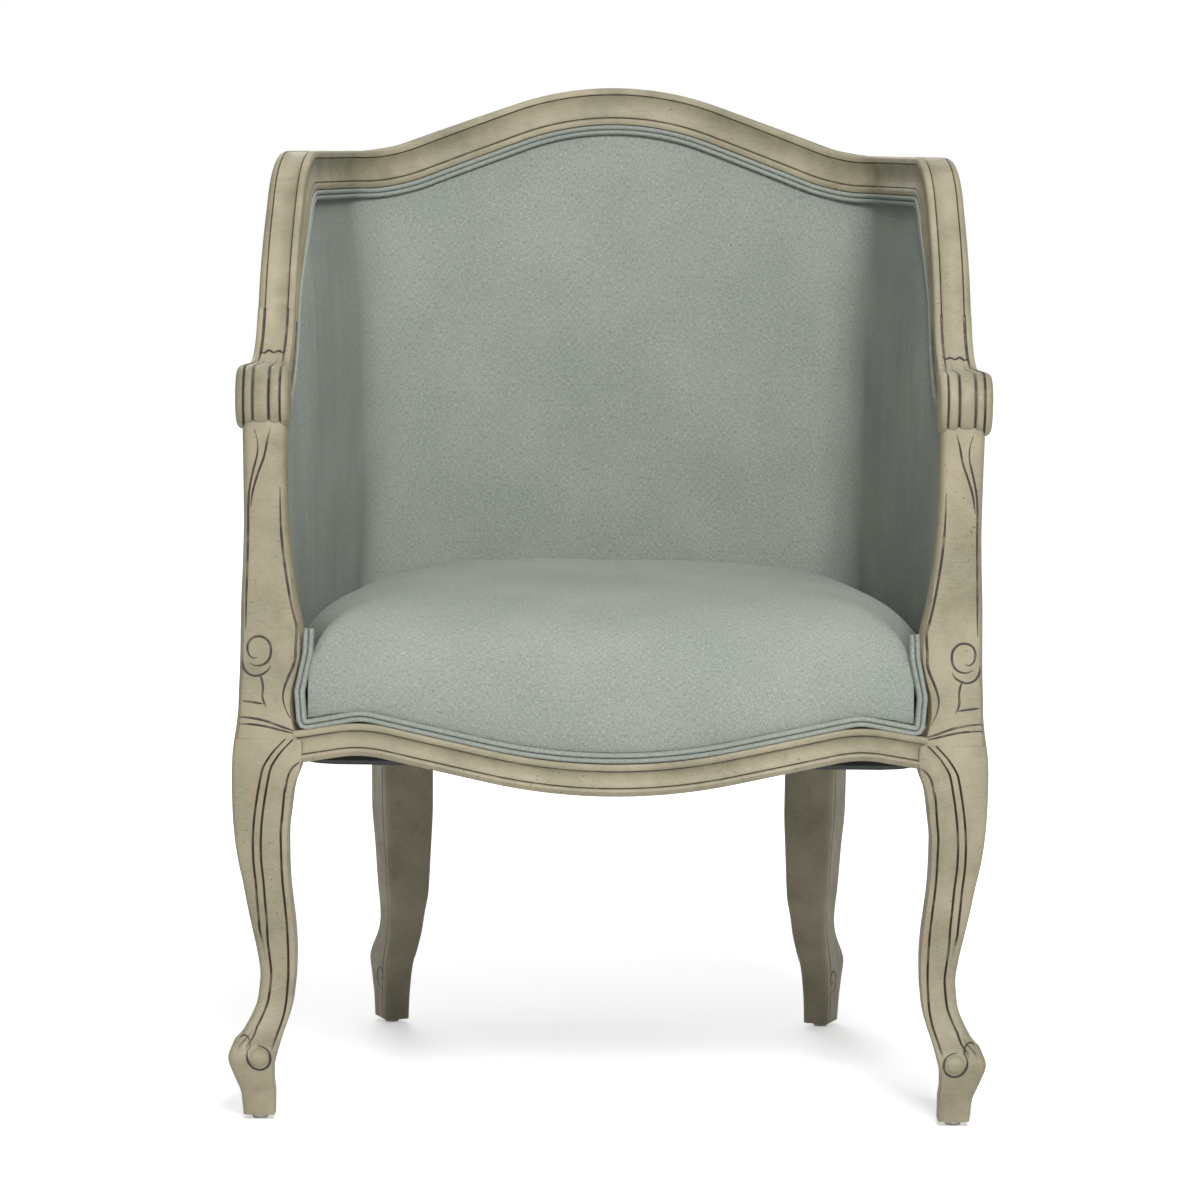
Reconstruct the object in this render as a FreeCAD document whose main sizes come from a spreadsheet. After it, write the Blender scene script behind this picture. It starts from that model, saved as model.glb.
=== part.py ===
import FreeCAD, Part
import math
import os

from FreeCAD import Placement, Rotation, Vector

# Bergere chair, millimetres. X to the right seen from the front, Y backwards, Z up.
# While the pieces are made, Y is counted from the front plane of the knuckles and knees.

doc = FreeCAD.newDocument("bergere_chair")
sheet = doc.addObject("Spreadsheet::Sheet", "Sizes")

SIZES = {
    # tub plan, inner face of the rail at the height of the wings
    "tub_back": 535,
    "back_radius": 544,
    "back_angle": 21.5,
    "corner_radius": 74,
    "side_splay": 8,
    "side_length": 241,
    "blend_radius": 300,
    "arm_splay": 2,
    "rake": 2.5,
    # rim seen from the side and the front
    "wing_height": 838,
    "crest_height": 900,
    "crest_slope": 20.2,
    "crest_radius": 290,
    "crest_foot_radius": 150,
    "wing_corner_run": 499,
    "wing_foot_run": 591,
    "wing_corner_radius": 70,
    "wing_foot_radius": 70,
    "arm_height": 655,
    "crest_joint_run": 185,
    "wing_joint_height": 700,
    # rail moulding
    "rail_width": 33.4,
    "rail_depth": 35,
    "rail_bead": 6.6,
    "rail_cove": 3.4,
    "rail_quirk": 0.9,
    "rail_arris": 3,
    "rail_back_round": 6,
    "facet_turn": 17,
    "facet_length": 70,
    "rebate": 7,
    "tongue": 15,
    # arm and knuckle
    "knuckle_radius": 27.5,
    "knuckle_inner": 279,
    "knuckle_outer": 324.6,
    "knuckle_round": 7,
    "flute_depth": 1.4,
    "scroll_turn": 250,
    # front post
    "leg_height": 334,
    "stump_height": 614,
    "knee_reach": 328.2,
    "leg_block": 55,
    "leg_round": 7,
    # rear post
    "rear_leg_run": 197,
    "rear_leg_block": 41,
    "rear_post_width": 45,
    "rear_leg_top": 292,
    "rear_axis_out": 8.7,
    # seat frame
    "deck_height": 328,
    "seat_rail_height": 42,
    "side_rail_front_low": 304,
    "side_rail_sweep_run": 330,
    "front_rail_low": 288.7,
    "front_rail_low_side": 322.5,
    "front_rail_slope": 11.9,
    "front_rail_end_height": 313,
    "front_rail_side": 215,
    "front_rail_end": 266,
    "front_rail_side_radius": 100,
    "front_rail_face": 28.5,
    "front_rail_thick": 30,
    "front_rail_bow": 12,
    "front_rail_set_back": 4,
    "tenon_length": 28,
    "tenon_thick": 10,
    "joint_gap": 0.2,
    "tack_rail_low": 372,
    "tack_rail_height": 26,
    "stile_run": 440,
    "stile_width": 34,
    "block_size": 68,
    "front_block_height": 12,
    "rear_block_height": 30,
    "dowel_radius": 4,
    "dowel_length": 40,
    "screw_radius": 2.2,
    "screw_head_radius": 4.2,
    "screw_head_height": 2.6,
    "screw_length": 45,
    "rear_tenon_length": 16,
    "tenon_height": 18,
    # upholstery
    "cloth": 1.2,
    "clearance": 0.3,
    "welt_cord": 4.6,
    "back_crown": 15,
    "arm_crown": 7,
    "pad_edge": 4,
    "pad_low": 352,
    "hessian": 0.9,
    "batting": 2.4,
    "strap_width": 50,
    "strap_thick": 1.4,
    "strap_pitch": 70,
    "strap_land": 20,
    "ledge_set_back": 17,
    "seat_crown_height": 459,
    "seat_crown_power": 3,
    "seat_front_half": 261,
    "dust_thick": 1,
    # glides
    "glide_radius": 8.5,
    "glide_height": 4.5,
    "glide_pin_radius": 1.5,
    "glide_pin_length": 12,
}
for row, (alias, value) in enumerate(SIZES.items(), start=1):
    sheet.set(f"A{row}", alias)
    sheet.set(f"B{row}", str(value))
    sheet.setAlias(f"B{row}", alias)
doc.recompute()


def size(name):
    return float(sheet.get(name))


def degrees(name):
    return math.radians(size(name))


cloth = size("cloth")
clearance = size("clearance")
rebate = size("rebate")
rail_width = size("rail_width")
rail_depth = size("rail_depth")
tongue = size("tongue")
tub_back = size("tub_back")
wing_height = size("wing_height")
arm_height = size("arm_height")
deck_height = size("deck_height")
rail_floor = deck_height - size("seat_rail_height")
finest_step = size("rail_bead") * 2
long_step = finest_step * 2
overrun = size("rail_bead")
post_gap = 1 / 12


# Tub wall

def plan_spans():
    """Lengths and curvatures of the tub's plan, from the middle of the back to the front plane."""
    back_turn = degrees("back_angle")
    arm_turn = degrees("side_splay") - degrees("arm_splay")
    corner_turn = math.radians(90) - degrees("side_splay") - back_turn
    return (
        (size("back_radius") * back_turn, 1 / size("back_radius")),
        (size("corner_radius") * corner_turn, 1 / size("corner_radius")),
        (size("side_length"), 0),
        (size("blend_radius") * arm_turn, 1 / size("blend_radius")),
        (tub_back, 0),
    )


def plan_point(run):
    """Place and heading on the plan after a run from the middle of the back."""
    x = 0
    y = tub_back
    heading = 0
    left = run
    for length, curvature in plan_spans():
        used = min(left, length)
        turned = heading + used * curvature
        if curvature:
            x += (math.sin(turned) - math.sin(heading)) / curvature
            y += (math.cos(turned) - math.cos(heading)) / curvature
        else:
            x += used * math.cos(heading)
            y -= used * math.sin(heading)
        heading = turned
        left -= used
        if left <= 0:
            break
    return x, y, heading


def wall(run, height, out=0.0):
    """Point of the tub wall: run along the plan, height, and distance outside the rail's inner face."""
    side = -1 if run < 0 else 1
    x, y, heading = plan_point(abs(run))
    lean = (height - wing_height) * math.tan(degrees("rake")) * y / tub_back
    return Vector(side * (x + out * math.sin(heading)), y + lean + out * math.cos(heading), height)


def front_face(x, height, inward=0.0):
    """Point of the bowed front of the seat, inward being backwards."""
    share = x / size("front_rail_end")
    bow = size("front_rail_bow")
    y = (bow + size("front_rail_set_back")) * share ** 2 - bow
    return Vector(x, y + inward, height)


# Paths and sections

def rounded_path(corners, radii, step):
    """Samples (a, b, direction a, direction b) along a polyline whose inner corners are arcs."""
    points = [Vector(a, b, 0) for a, b in corners]
    stretches = []
    start = points[0]
    for index in range(1, len(points)):
        here = points[index]
        direction = (here - points[index - 1]).normalize()
        if index == len(points) - 1:
            stretches.append((start, here, direction, 0, 0))
            break
        following = (points[index + 1] - here).normalize()
        turn = math.atan2(direction.cross(following).z, direction.dot(following))
        cut = radii[index - 1] * math.tan(abs(turn) / 2)
        stretches.append((start, here - direction * cut, direction, 0, 0))
        stretches.append((here - direction * cut, None, direction, turn, radii[index - 1]))
        start = here + following * cut
    samples = []
    for begin, end, direction, turn, radius in stretches:
        length = radius * abs(turn) if turn else (end - begin).Length
        count = max(1, math.ceil(length / step))
        for number in range(count):
            share = number / count
            if turn:
                sign = 1 if turn > 0 else -1
                normal = Vector(-direction.y, direction.x, 0) * sign
                angle = abs(turn) * share
                place = begin + direction * (radius * math.sin(angle))
                place += normal * (radius * (1 - math.cos(angle)))
                heading = direction * math.cos(angle) + normal * math.sin(angle)
            else:
                place = begin + (end - begin) * share
                heading = direction
            samples.append((place.x, place.y, heading.x, heading.y))
    last = points[-1]
    samples.append((last.x, last.y, direction.x, direction.y))
    return samples


def frame_at(surface, sample):
    """Origin, into and out directions of a section that stands square to a path on a surface."""
    a, b, along_share, up_share = sample
    probe = size("joint_gap")
    along = (surface(a + probe, b) - surface(a - probe, b)).normalize()
    up = (surface(a, b + probe) - surface(a, b - probe)).normalize()
    tangent = (along * along_share + up * up_share).normalize()
    out = up.cross(along).normalize()
    into = out.cross(tangent).normalize()
    return surface(a, b), into, tangent.cross(into).normalize()


def chords(start, through, end, count):
    """Points after the start of a three-point arc in a section, up to its end."""
    curve = Part.Arc(*[Vector(point[0], point[1], 0) for point in (start, through, end)]).toShape()
    return [(point.x, point.y) for point in curve.discretize(count + 1)[1:]]


def section_wire(frame, outline):
    """Closed wire of a section; the outline's points are (into, out) pairs."""
    origin, into, out = frame
    points = [origin + into * point[0] + out * point[1] for point in outline]
    return Part.makePolygon(points + points[:1])


def mirrored(sample):
    a, b, along, up = sample
    return -a, b, along, -up


def thinned_evenly(path):
    """Thinned samples of a flat path from right to left, whose left half mirrors its right half."""
    samples = thinned(path, [0 for sample in path])
    right = [sample for sample in samples if sample[0] > size("facet_length") / 3]
    middle = min(path, key=lambda sample: abs(sample[0]))
    left = [mirrored(sample) for sample in reversed(right)]
    return right + [(0, middle[1], middle[2], 0)] + left


def triangle(first, second, third):
    return Part.Face(Part.makePolygon([first, second, third, first]))


def faceted(wires):
    """Solid of flat triangles between closed polygons that have the same number of corners."""
    rings = [[vertex.Point for vertex in wire.OrderedVertexes] for wire in wires]
    faces = [Part.Face(wires[0]), Part.Face(wires[-1])]
    for lower, upper in zip(rings, rings[1:]):
        for index, corner in enumerate(lower):
            following = (index + 1) % len(lower)
            faces.append(triangle(corner, lower[following], upper[following]))
            faces.append(triangle(corner, upper[following], upper[index]))
    solid = Part.makeSolid(Part.makeShell(faces))
    if solid.Volume < 0:
        solid.reverse()
    return solid


def swept(surface, samples, outline_of):
    """Solid lofted through sections along a path; outline_of gets the share of the path."""
    wires = []
    for number, sample in enumerate(samples):
        outline = outline_of(number / (len(samples) - 1))
        wires.append(section_wire(frame_at(surface, sample), outline))
    return faceted(wires)


def thinned(samples, headings):
    """Samples that a path needs: each where it has turned or run far enough since the last one."""
    turn_limit = degrees("facet_turn")
    kept = [samples[0]]
    last = 0
    for index in range(1, len(samples) - 1):
        turned = abs(headings[index] - headings[last])
        along = Vector(samples[index][2], samples[index][3], 0)
        before = Vector(samples[last][2], samples[last][3], 0)
        turned += abs(math.atan2(before.cross(along).z, before.dot(along)))
        gone = math.hypot(samples[index][0] - samples[last][0], samples[index][1] - samples[last][1])
        if turned >= turn_limit or gone >= size("facet_length"):
            kept.append(samples[index])
            last = index
    kept.append(samples[-1])
    return kept


def wall_samples(corners, radii):
    samples = rounded_path(corners, radii, size("facet_length") / 10)
    return thinned(samples, [plan_point(abs(sample[0]))[2] for sample in samples])


def smooth_share(share):
    limited = min(1, max(0, share))
    return limited * limited * (3 - 2 * limited)


def moulding(inner, outer, face):
    """Rail section: bead, cove and bead on the edge and on the inner face, and a tongue below."""
    bead = size("rail_bead")
    quirk = size("rail_quirk")
    cove = size("rail_cove")
    arris = size("rail_arris")
    back_round = size("rail_back_round")
    middle = (inner + outer) / 2
    tongue_inner = max(inner, 0) + rebate
    tongue_outer = min(outer, rail_width) - rebate
    tip = face + tongue
    outline = [(arris, inner), (0, inner + arris), (0, inner + bead), (quirk, inner + bead)]
    outline += chords((quirk, inner + bead), (cove, middle), (quirk, outer - bead), 3)
    outline += [(0, outer - bead), (0, outer - back_round), (back_round, outer)]
    outline += [(face, outer), (face, tongue_outer), (tip, tongue_outer), (tip, tongue_inner)]
    outline += [(face, tongue_inner), (face, inner), (face - bead, inner), (face - bead, inner + quirk)]
    outline += chords((face - bead, inner + quirk), (face / 2, inner + cove), (bead, inner + quirk), 3)
    outline += [(bead, inner)]
    return outline


def rim_corners():
    """Corners and radii of the rim's edge on the right, from the crest joint to the knuckle."""
    slope = math.tan(degrees("crest_slope"))
    apex = size("crest_height") + size("crest_radius") * (1 / math.cos(degrees("crest_slope")) - 1)
    foot = (apex - wing_height) / slope
    strip_lean = (size("wing_foot_run") - size("wing_corner_run")) / (wing_height - arm_height)
    joint_height = size("wing_joint_height")
    return {
        "apex": (0, apex),
        "crest_joint": (size("crest_joint_run"), apex - slope * size("crest_joint_run")),
        "crest_foot": (foot, wing_height),
        "wing_corner": (size("wing_corner_run"), wing_height),
        "wing_joint": (size("wing_foot_run") - strip_lean * (joint_height - arm_height), joint_height),
        "wing_foot": (size("wing_foot_run"), arm_height),
        "arm_end": (run_at_front(size("knuckle_radius")), arm_height),
    }


def run_at_front(distance):
    """Run at which the tub's plan reaches a distance behind the front plane."""
    spans = plan_spans()
    bent = sum(length for length, curvature in spans[:-1])
    y = plan_point(bent)[1]
    return bent + (y - distance) / math.cos(degrees("arm_splay"))


RIM = rim_corners()


CREST_SAMPLES = wall_samples(
    [(-RIM["crest_joint"][0], RIM["crest_joint"][1]), RIM["apex"], RIM["crest_joint"]],
    [size("crest_radius")],
)
WING_SAMPLES = wall_samples(
    [RIM[name] for name in ("crest_joint", "crest_foot", "wing_corner", "wing_joint")],
    [size("crest_foot_radius"), size("wing_corner_radius")],
)


def arm_samples(front_distance):
    """Samples of the arm's edge from the wing joint to a distance behind the front plane."""
    end = (run_at_front(front_distance), arm_height)
    return wall_samples([RIM["wing_joint"], RIM["wing_foot"], end], [size("wing_foot_radius")])


def rim_samples(front_distance):
    """Samples of the whole rim's edge, ending on both sides at a distance behind the front plane."""
    right = WING_SAMPLES[1:] + arm_samples(front_distance)[1:]
    left = [mirrored(sample) for sample in reversed(right)]
    return left + CREST_SAMPLES + right


def inset_edge(samples, inset):
    """Points of the line that runs inside the rim's edge by an inset, as (run, height) pairs."""
    return [(a + up * inset, b - along * inset) for a, b, along, up in samples]


RIM_SAMPLES = rim_samples(0)


def height_under_rim(run, inset):
    """Height of the line inside the rim's edge at a run, by straight steps between samples."""
    line = inset_edge(RIM_SAMPLES, inset)
    for first, second in zip(line, line[1:]):
        if first[0] <= run <= second[0]:
            share = (run - first[0]) / (second[0] - first[0])
            return first[1] + (second[1] - first[1]) * share
    return line[-1][1]


# Document objects

NODES = []


def keep(name, shape):
    """Adds a sub-part whose shape comes from Part's own functions."""
    feature = doc.addObject("Part::Feature", name)
    feature.Label = name
    feature.Shape = shape
    NODES.append(feature)
    return feature


def bound(kind, name, sizes, placement):
    """Adds a primitive whose sizes are expressions over the sheet."""
    primitive = doc.addObject(kind, name)
    for key, expression in sizes.items():
        primitive.setExpression(key, expression)
    primitive.Placement = placement
    return primitive


def joined(kind, name, pieces):
    """Adds a fusion or a compound of document objects."""
    whole = doc.addObject(kind, name)
    if kind == "Part::MultiFuse":
        whole.Shapes = pieces
    else:
        whole.Links = pieces
    return whole


def keep_object(whole):
    """Makes a document object one of the part's nodes."""
    whole.Label = whole.Name
    NODES.append(whole)


def mirror_vector(vector):
    return Vector(-vector.x, vector.y, vector.z)


def standing(base, axis):
    """Placement that stands an object's Z axis along a direction at a point."""
    return Placement(base, Rotation(Vector(0, 0, 1), axis))


def mirror_shape(shape):
    return shape.mirror(Vector(0, 0, 0), Vector(1, 0, 0))


def keep_pair(stem, shape):
    keep(stem + "_right", shape)
    keep(stem + "_left", mirror_shape(shape))


def panel(runs, low_of, high_of, inner_of, outer_of):
    """Solid in the tub wall between two heights and two distances from the inner face."""
    wires = []
    for run in runs:
        low = low_of(run)
        high = high_of(run)
        corners = [
            wall(run, low, inner_of(run)),
            wall(run, high, inner_of(run)),
            wall(run, high, outer_of(run)),
            wall(run, low, outer_of(run)),
        ]
        wires.append(Part.makePolygon(corners + corners[:1]))
    return faceted(wires)


def steps_between(start, end, step):
    count = max(1, math.ceil(abs(end - start) / step))
    return [start + (end - start) * number / count for number in range(count + 1)]


def constant(value):
    return lambda run: value


def bar(start, direction, length, width, height, grow=0.0):
    """Straight bar that begins at a point, runs along a level direction and is centred on it."""
    level = Vector(direction.x, direction.y, 0).normalize()
    box = Part.makeBox(length + grow, width + grow * 2, height + grow * 2)
    box.translate(Vector(0, -width / 2 - grow, -height / 2 - grow))
    turn = math.degrees(math.atan2(level.y, level.x))
    box.Placement = Placement(start, Rotation(Vector(0, 0, 1), turn)).multiply(box.Placement)
    return box


def peg(centre, direction, radius, length):
    """Cylinder centred on a point."""
    axis = Vector(direction).normalize()
    return Part.makeCylinder(radius, length, centre - axis * (length / 2), axis)


# Moulded rim: crest, wings and arms

def rim_rail(samples):
    outline = moulding(0, rail_width, rail_depth)
    return swept(wall, samples, lambda share: outline)


FLUTE_SHARES = (0.1, 0.3, 0.5, 0.7, 0.9)


def fluted(inner, outer, depth, flutes):
    """Section of the arm's scrolled end: rounded sides and a top whose flutes are as deep as asked."""
    corner = size("knuckle_round")
    near = corner * (1 - math.sqrt(1 / 2))
    outline = [(depth, inner)]
    outline += [(corner, inner)]
    outline += chords((corner, inner), (near, inner + near), (0, inner + corner), 2)
    for number, share in enumerate(FLUTE_SHARES):
        into = flutes * (number % 2)
        outline.append((into, inner + corner + (outer - inner - corner * 2) * share))
    outline += [(0, outer - corner)]
    outline += chords((0, outer - corner), (near, outer - near), (corner, outer), 2)
    outline += [(depth, outer)]
    return outline


def make_arm():
    """Arm from the wing's foot to its end, and the fluted scroll that the end rolls into."""
    samples = arm_samples(size("knuckle_radius"))
    front = wall(RIM["arm_end"][0], arm_height)
    inner_end = size("knuckle_inner") - front.x
    outer_end = size("knuckle_outer") - front.x
    sweep_share = 1 / 3

    def outline_of(share):
        widening = smooth_share((share - sweep_share) / (1 - sweep_share))
        inner = inner_end * widening
        outer = rail_width + (outer_end - rail_width) * widening
        return moulding(inner, outer, rail_depth)

    body = swept(wall, samples, outline_of)
    radius = size("knuckle_radius")
    core = size("knuckle_round") / 2
    outline = fluted(size("knuckle_inner"), size("knuckle_outer"), radius - core, size("flute_depth"))
    wires = []
    for angle in steps_between(0, math.radians(size("scroll_turn")), degrees("facet_turn") * 3 / 2):
        outward = Vector(0, -math.sin(angle), math.cos(angle))
        origin = Vector(0, radius, arm_height - radius) + outward * radius
        wires.append(section_wire((origin, -outward, Vector(1, 0, 0)), outline))
    return body.fuse(faceted(wires))


# Front posts: heights and insets from the knee plane, as shares of the leg's height and its block

LEG_SHARES = (
    (0.0135, 0.240, 0.731),
    (0.0719, 0.195, 0.731),
    (0.120, 0.095, 0.709),
    (0.168, 0.000, 0.740),
    (0.201, 0.064, 0.804),
    (0.246, 0.271, 0.895),
    (0.293, 0.404, 0.975),
    (0.374, 0.473, 1.040),
    (0.479, 0.376, 1.035),
    (0.599, 0.240, 0.956),
    (0.734, 0.089, 0.918),
    (0.838, 0.042, 0.976),
    (0.922, 0.036, 1.110),
    (1.000, 0.071, 1.131),
)
# stump: heights as shares from the collar to the arm, outer and inner insets, front set back, depth
STUMP_SHARES = (
    (0.000, 0.071, 1.131, 0.071, 0.95),
    (0.050, 0.104, 1.036, 0.10, 0.95),
    (0.143, 0.131, 1.007, 0.14, 0.92),
    (0.268, 0.149, 1.149, 0.20, 0.90),
    (0.330, 0.153, 1.131, 0.24, 0.90),
    (0.421, 0.156, 1.031, 0.27, 0.90),
    (0.546, 0.182, 0.940, 0.28, 0.90),
    (0.668, 0.191, 0.885, 0.26, 0.90),
    (0.821, 0.184, 0.858, 0.22, 0.90),
    (1.000, 0.160, 0.858, 0.18, 0.90),
)


def bevelled_square(x_low, x_high, y_low, y_high, height, bevel):
    """Wire of a level rectangle with bevelled corners."""
    points = [
        (x_high - bevel, y_low),
        (x_high, y_low + bevel),
        (x_high, y_high - bevel),
        (x_high - bevel, y_high),
        (x_low + bevel, y_high),
        (x_low, y_high - bevel),
        (x_low, y_low + bevel),
        (x_low + bevel, y_low),
    ]
    corners = [Vector(x, y, height) for x, y in points]
    return Part.makePolygon(corners + corners[:1])


def table_at(table, share):
    """Values of a table of shares at a height share, by smooth steps through its rows."""
    last = len(table) - 1
    index = 0
    while index < last - 1 and table[index + 1][0] < share:
        index += 1
    below = table[index]
    above = table[index + 1]
    before = table[max(0, index - 1)]
    after = table[min(last, index + 2)]
    gap = above[0] - below[0]
    local = (share - below[0]) / gap

    def slope(first, middle, second, column):
        if first is middle or middle is second:
            return (second[column] - first[column]) / (second[0] - first[0])
        rise = (middle[column] - first[column]) / (middle[0] - first[0])
        fall = (second[column] - middle[column]) / (second[0] - middle[0])
        if rise * fall <= 0:
            return 0
        return 2 * rise * fall / (rise + fall)

    values = []
    for column in range(1, len(below)):
        start = slope(before, below, above, column) * gap
        end = slope(below, above, after, column) * gap
        square = local * local
        cube = square * local
        values.append(
            below[column] * (2 * cube - 3 * square + 1) + start * (cube - 2 * square + local)
            + above[column] * (3 * square - 2 * cube) + end * (cube - square)
        )
    return values


def stations(table):
    """Height shares of a table's rows, and the middles of its long gaps."""
    shares = [row[0] for row in table]
    middles = [(low + high) / 2 for low, high in zip(shares, shares[1:]) if high - low > post_gap]
    return sorted(shares + middles)


def make_front_post():
    block = size("leg_block")
    knee = size("knee_reach")
    radius = size("leg_round")
    leg = []
    for share in stations(LEG_SHARES):
        outer, inner = [value * block for value in table_at(LEG_SHARES, share)]
        height = size("leg_height") * share
        leg.append(bevelled_square(knee - inner, knee - outer, outer, inner, height, radius))
    stump = []
    rise = size("stump_height") - size("leg_height")
    for share in stations(STUMP_SHARES):
        outer, inner, front, back = [value * block for value in table_at(STUMP_SHARES, share)]
        height = size("leg_height") + rise * share
        stump.append(bevelled_square(knee - inner, knee - outer, front, back, height, radius))
    foot = faceted(leg)
    upper = faceted(stump)
    shoulder = Part.makeBox(block * 2, block, size("leg_height") - deck_height + overrun)
    shoulder.translate(Vector(knee - block * 3 / 2, block * STUMP_SHARES[0][4], deck_height))
    return foot.fuse(upper).cut(shoulder)


# Rear legs: height share, back inset of the front face, depth and width, as shares of the block

REAR_LEG_SHARES = (
    (0.0154, 0.837, 0.90, 0.60),
    (0.082, 0.824, 0.97, 0.62),
    (0.161, 0.746, 1.19, 0.66),
    (0.212, 0.620, 1.40, 0.68),
    (0.240, 0.493, 1.34, 0.72),
    (0.281, 0.344, 1.12, 0.77),
    (0.322, 0.210, 0.95, 0.81),
    (0.363, 0.134, 0.89, 0.84),
    (0.462, 0.000, 1.00, 0.98),
    (0.600, 0.000, 1.09, 1.08),
    (0.740, 0.030, 1.18, 1.18),
    (1.000, 0.110, 1.12, 1.20),
)


def make_rear_post():
    block = size("rear_leg_block")
    run = size("rear_leg_run")
    top = size("rear_leg_top")
    heading = plan_point(run)[2]
    outward = Vector(math.sin(heading), math.cos(heading), 0)
    turn = -math.degrees(heading)
    ankle = wall(run, top, size("rear_axis_out")) - outward * (block / 2)
    base = Vector(ankle.x, ankle.y, 0)
    wires = []
    for share in stations(REAR_LEG_SHARES):
        front, depth, width = [value * block for value in table_at(REAR_LEG_SHARES, share)]
        wire = bevelled_square(-width / 2, width / 2, front, front + depth, top * share,
                               size("leg_round") / 2)
        wire.Placement = Placement(base, Rotation(Vector(0, 0, 1), turn))
        wires.append(wire)
    leg = faceted(wires)
    half_run = size("rear_post_width") / 2
    head = [run - half_run, run, run + half_run]
    inset = rail_depth + tongue + size("joint_gap")
    post = panel(
        head,
        constant(deck_height),
        lambda place: height_under_rim(place, inset),
        constant(rebate),
        constant(rail_width - rebate),
    )
    middle = panel(head, constant(top), constant(deck_height), constant(0), constant(rail_width))
    return leg.fuse([middle, post])


# Seat frame

def rail_low(run):
    """Height of the side and rear rails' lower edge, which sweeps up towards the front legs."""
    sweep = size("side_rail_sweep_run")
    share = (abs(run) - sweep) / (front_run - sweep)
    return rail_floor + (size("side_rail_front_low") - rail_floor) * smooth_share(share)


def seat_rail(start, end):
    """Side or rear seat rail along the tub wall."""
    runs = steps_between(start, end, corner_step)
    return panel(runs, rail_low, constant(deck_height), constant(0), constant(rail_width))


def front_rail_samples():
    slope = math.tan(degrees("front_rail_slope"))
    low = size("front_rail_low")
    side = (size("front_rail_side"), size("front_rail_low_side"))
    apex = side[1] - slope * side[0]
    radius = (low - apex) / (1 / math.cos(degrees("front_rail_slope")) - 1)
    end = (size("front_rail_end") + overrun, size("front_rail_end_height"))
    corners = [end, side, (0, apex), (-side[0], side[1]), (-end[0], end[1])]
    side_radius = size("front_rail_side_radius")
    samples = rounded_path(corners, [side_radius, radius, side_radius], finest_step / 2)
    return thinned_evenly(samples)


FRONT_RAIL_SAMPLES = front_rail_samples()


def front_rail_edge(x):
    """Height of the front rail's lower edge."""
    for first, second in zip(FRONT_RAIL_SAMPLES, FRONT_RAIL_SAMPLES[1:]):
        if second[0] <= abs(x) <= first[0]:
            return second[1] + (first[1] - second[1]) * (abs(x) - second[0]) / (first[0] - second[0])
    return size("front_rail_end_height")


def make_front_rail():
    face = size("front_rail_face")
    outline = front_outline(face, face + tongue - rebate / 2, size("front_rail_thick"))
    return swept(front_face, FRONT_RAIL_SAMPLES, lambda share: outline)


def front_outline(face, tip, thick):
    """Front rail section: flat underside, bead, cove and bead in front, lip behind the welt."""
    bead = size("rail_bead")
    quirk = size("rail_quirk")
    arris = size("rail_arris")
    near = arris * (1 - math.sqrt(1 / 2))
    outline = [(arris, 0)]
    outline += chords((arris, 0), (near, near), (0, arris), 2)
    outline += [(0, thick), (tip, thick), (tip, rebate), (face, rebate), (face, 0)]
    outline += [(face - bead, 0), (face - bead, quirk)]
    outline += chords((face - bead, quirk), (face / 2, size("rail_cove")), (bead, quirk), 3)
    outline += [(bead, 0)]
    return outline


def front_ledge():
    """Space above the front rail's ledge, behind its lip, where the webbing lands."""
    end = size("front_rail_end") - rebate
    low = deck_height
    wires = []
    for x in steps_between(-end, end, long_step):
        near = front_face(x, low, size("ledge_set_back"))
        far = front_face(x, low, size("front_rail_thick") * 2)
        rise = Vector(0, 0, tongue * 4)
        wires.append(Part.makePolygon([near, far, far + rise, near + rise, near]))
    return faceted(wires)


def run_at_depth(y, height):
    """Run at which the wall's inner face reaches a distance behind the front plane."""
    low = 0
    high = run_at_front(0)
    while high - low > size("joint_gap") / 4:
        middle = (low + high) / 2
        if wall(middle, height).y > y:
            low = middle
        else:
            high = middle
    return low


def wall_top(run):
    """Height of the rail's lower edge above the inside cloth, without the crest's rise."""
    share = (abs(run) - size("wing_corner_run")) / (size("wing_foot_run") - size("wing_corner_run"))
    limited = min(1, max(0, share))
    return wing_height + (arm_height - wing_height) * limited - rail_depth


def seat_runs(end):
    """Runs of the wall that the seat's plan needs, closer together round the corners."""
    first, second = plan_spans()[0][0], plan_spans()[1][0]
    right = steps_between(0, first, size("facet_length"))
    right += steps_between(first, first + second, size("corner_radius") * degrees("facet_turn"))[1:]
    right += steps_between(first + second, end, size("facet_length") * 3 / 2)[1:]
    return [-run for run in reversed(right[1:])] + right


def seat_front(x, height):
    """Place of the seat's front: behind the front rail's lip below its top, over the lip above it."""
    behind_lip = size("ledge_set_back") + cloth + clearance * 2
    over_lip = rebate - cloth
    lip_top = front_rail_edge(x) + size("front_rail_face") + tongue
    share = smooth_share((height - lip_top) / (size("welt_cord") * 4))
    return front_face(x, 0, behind_lip + (over_lip - behind_lip) * share)


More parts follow.
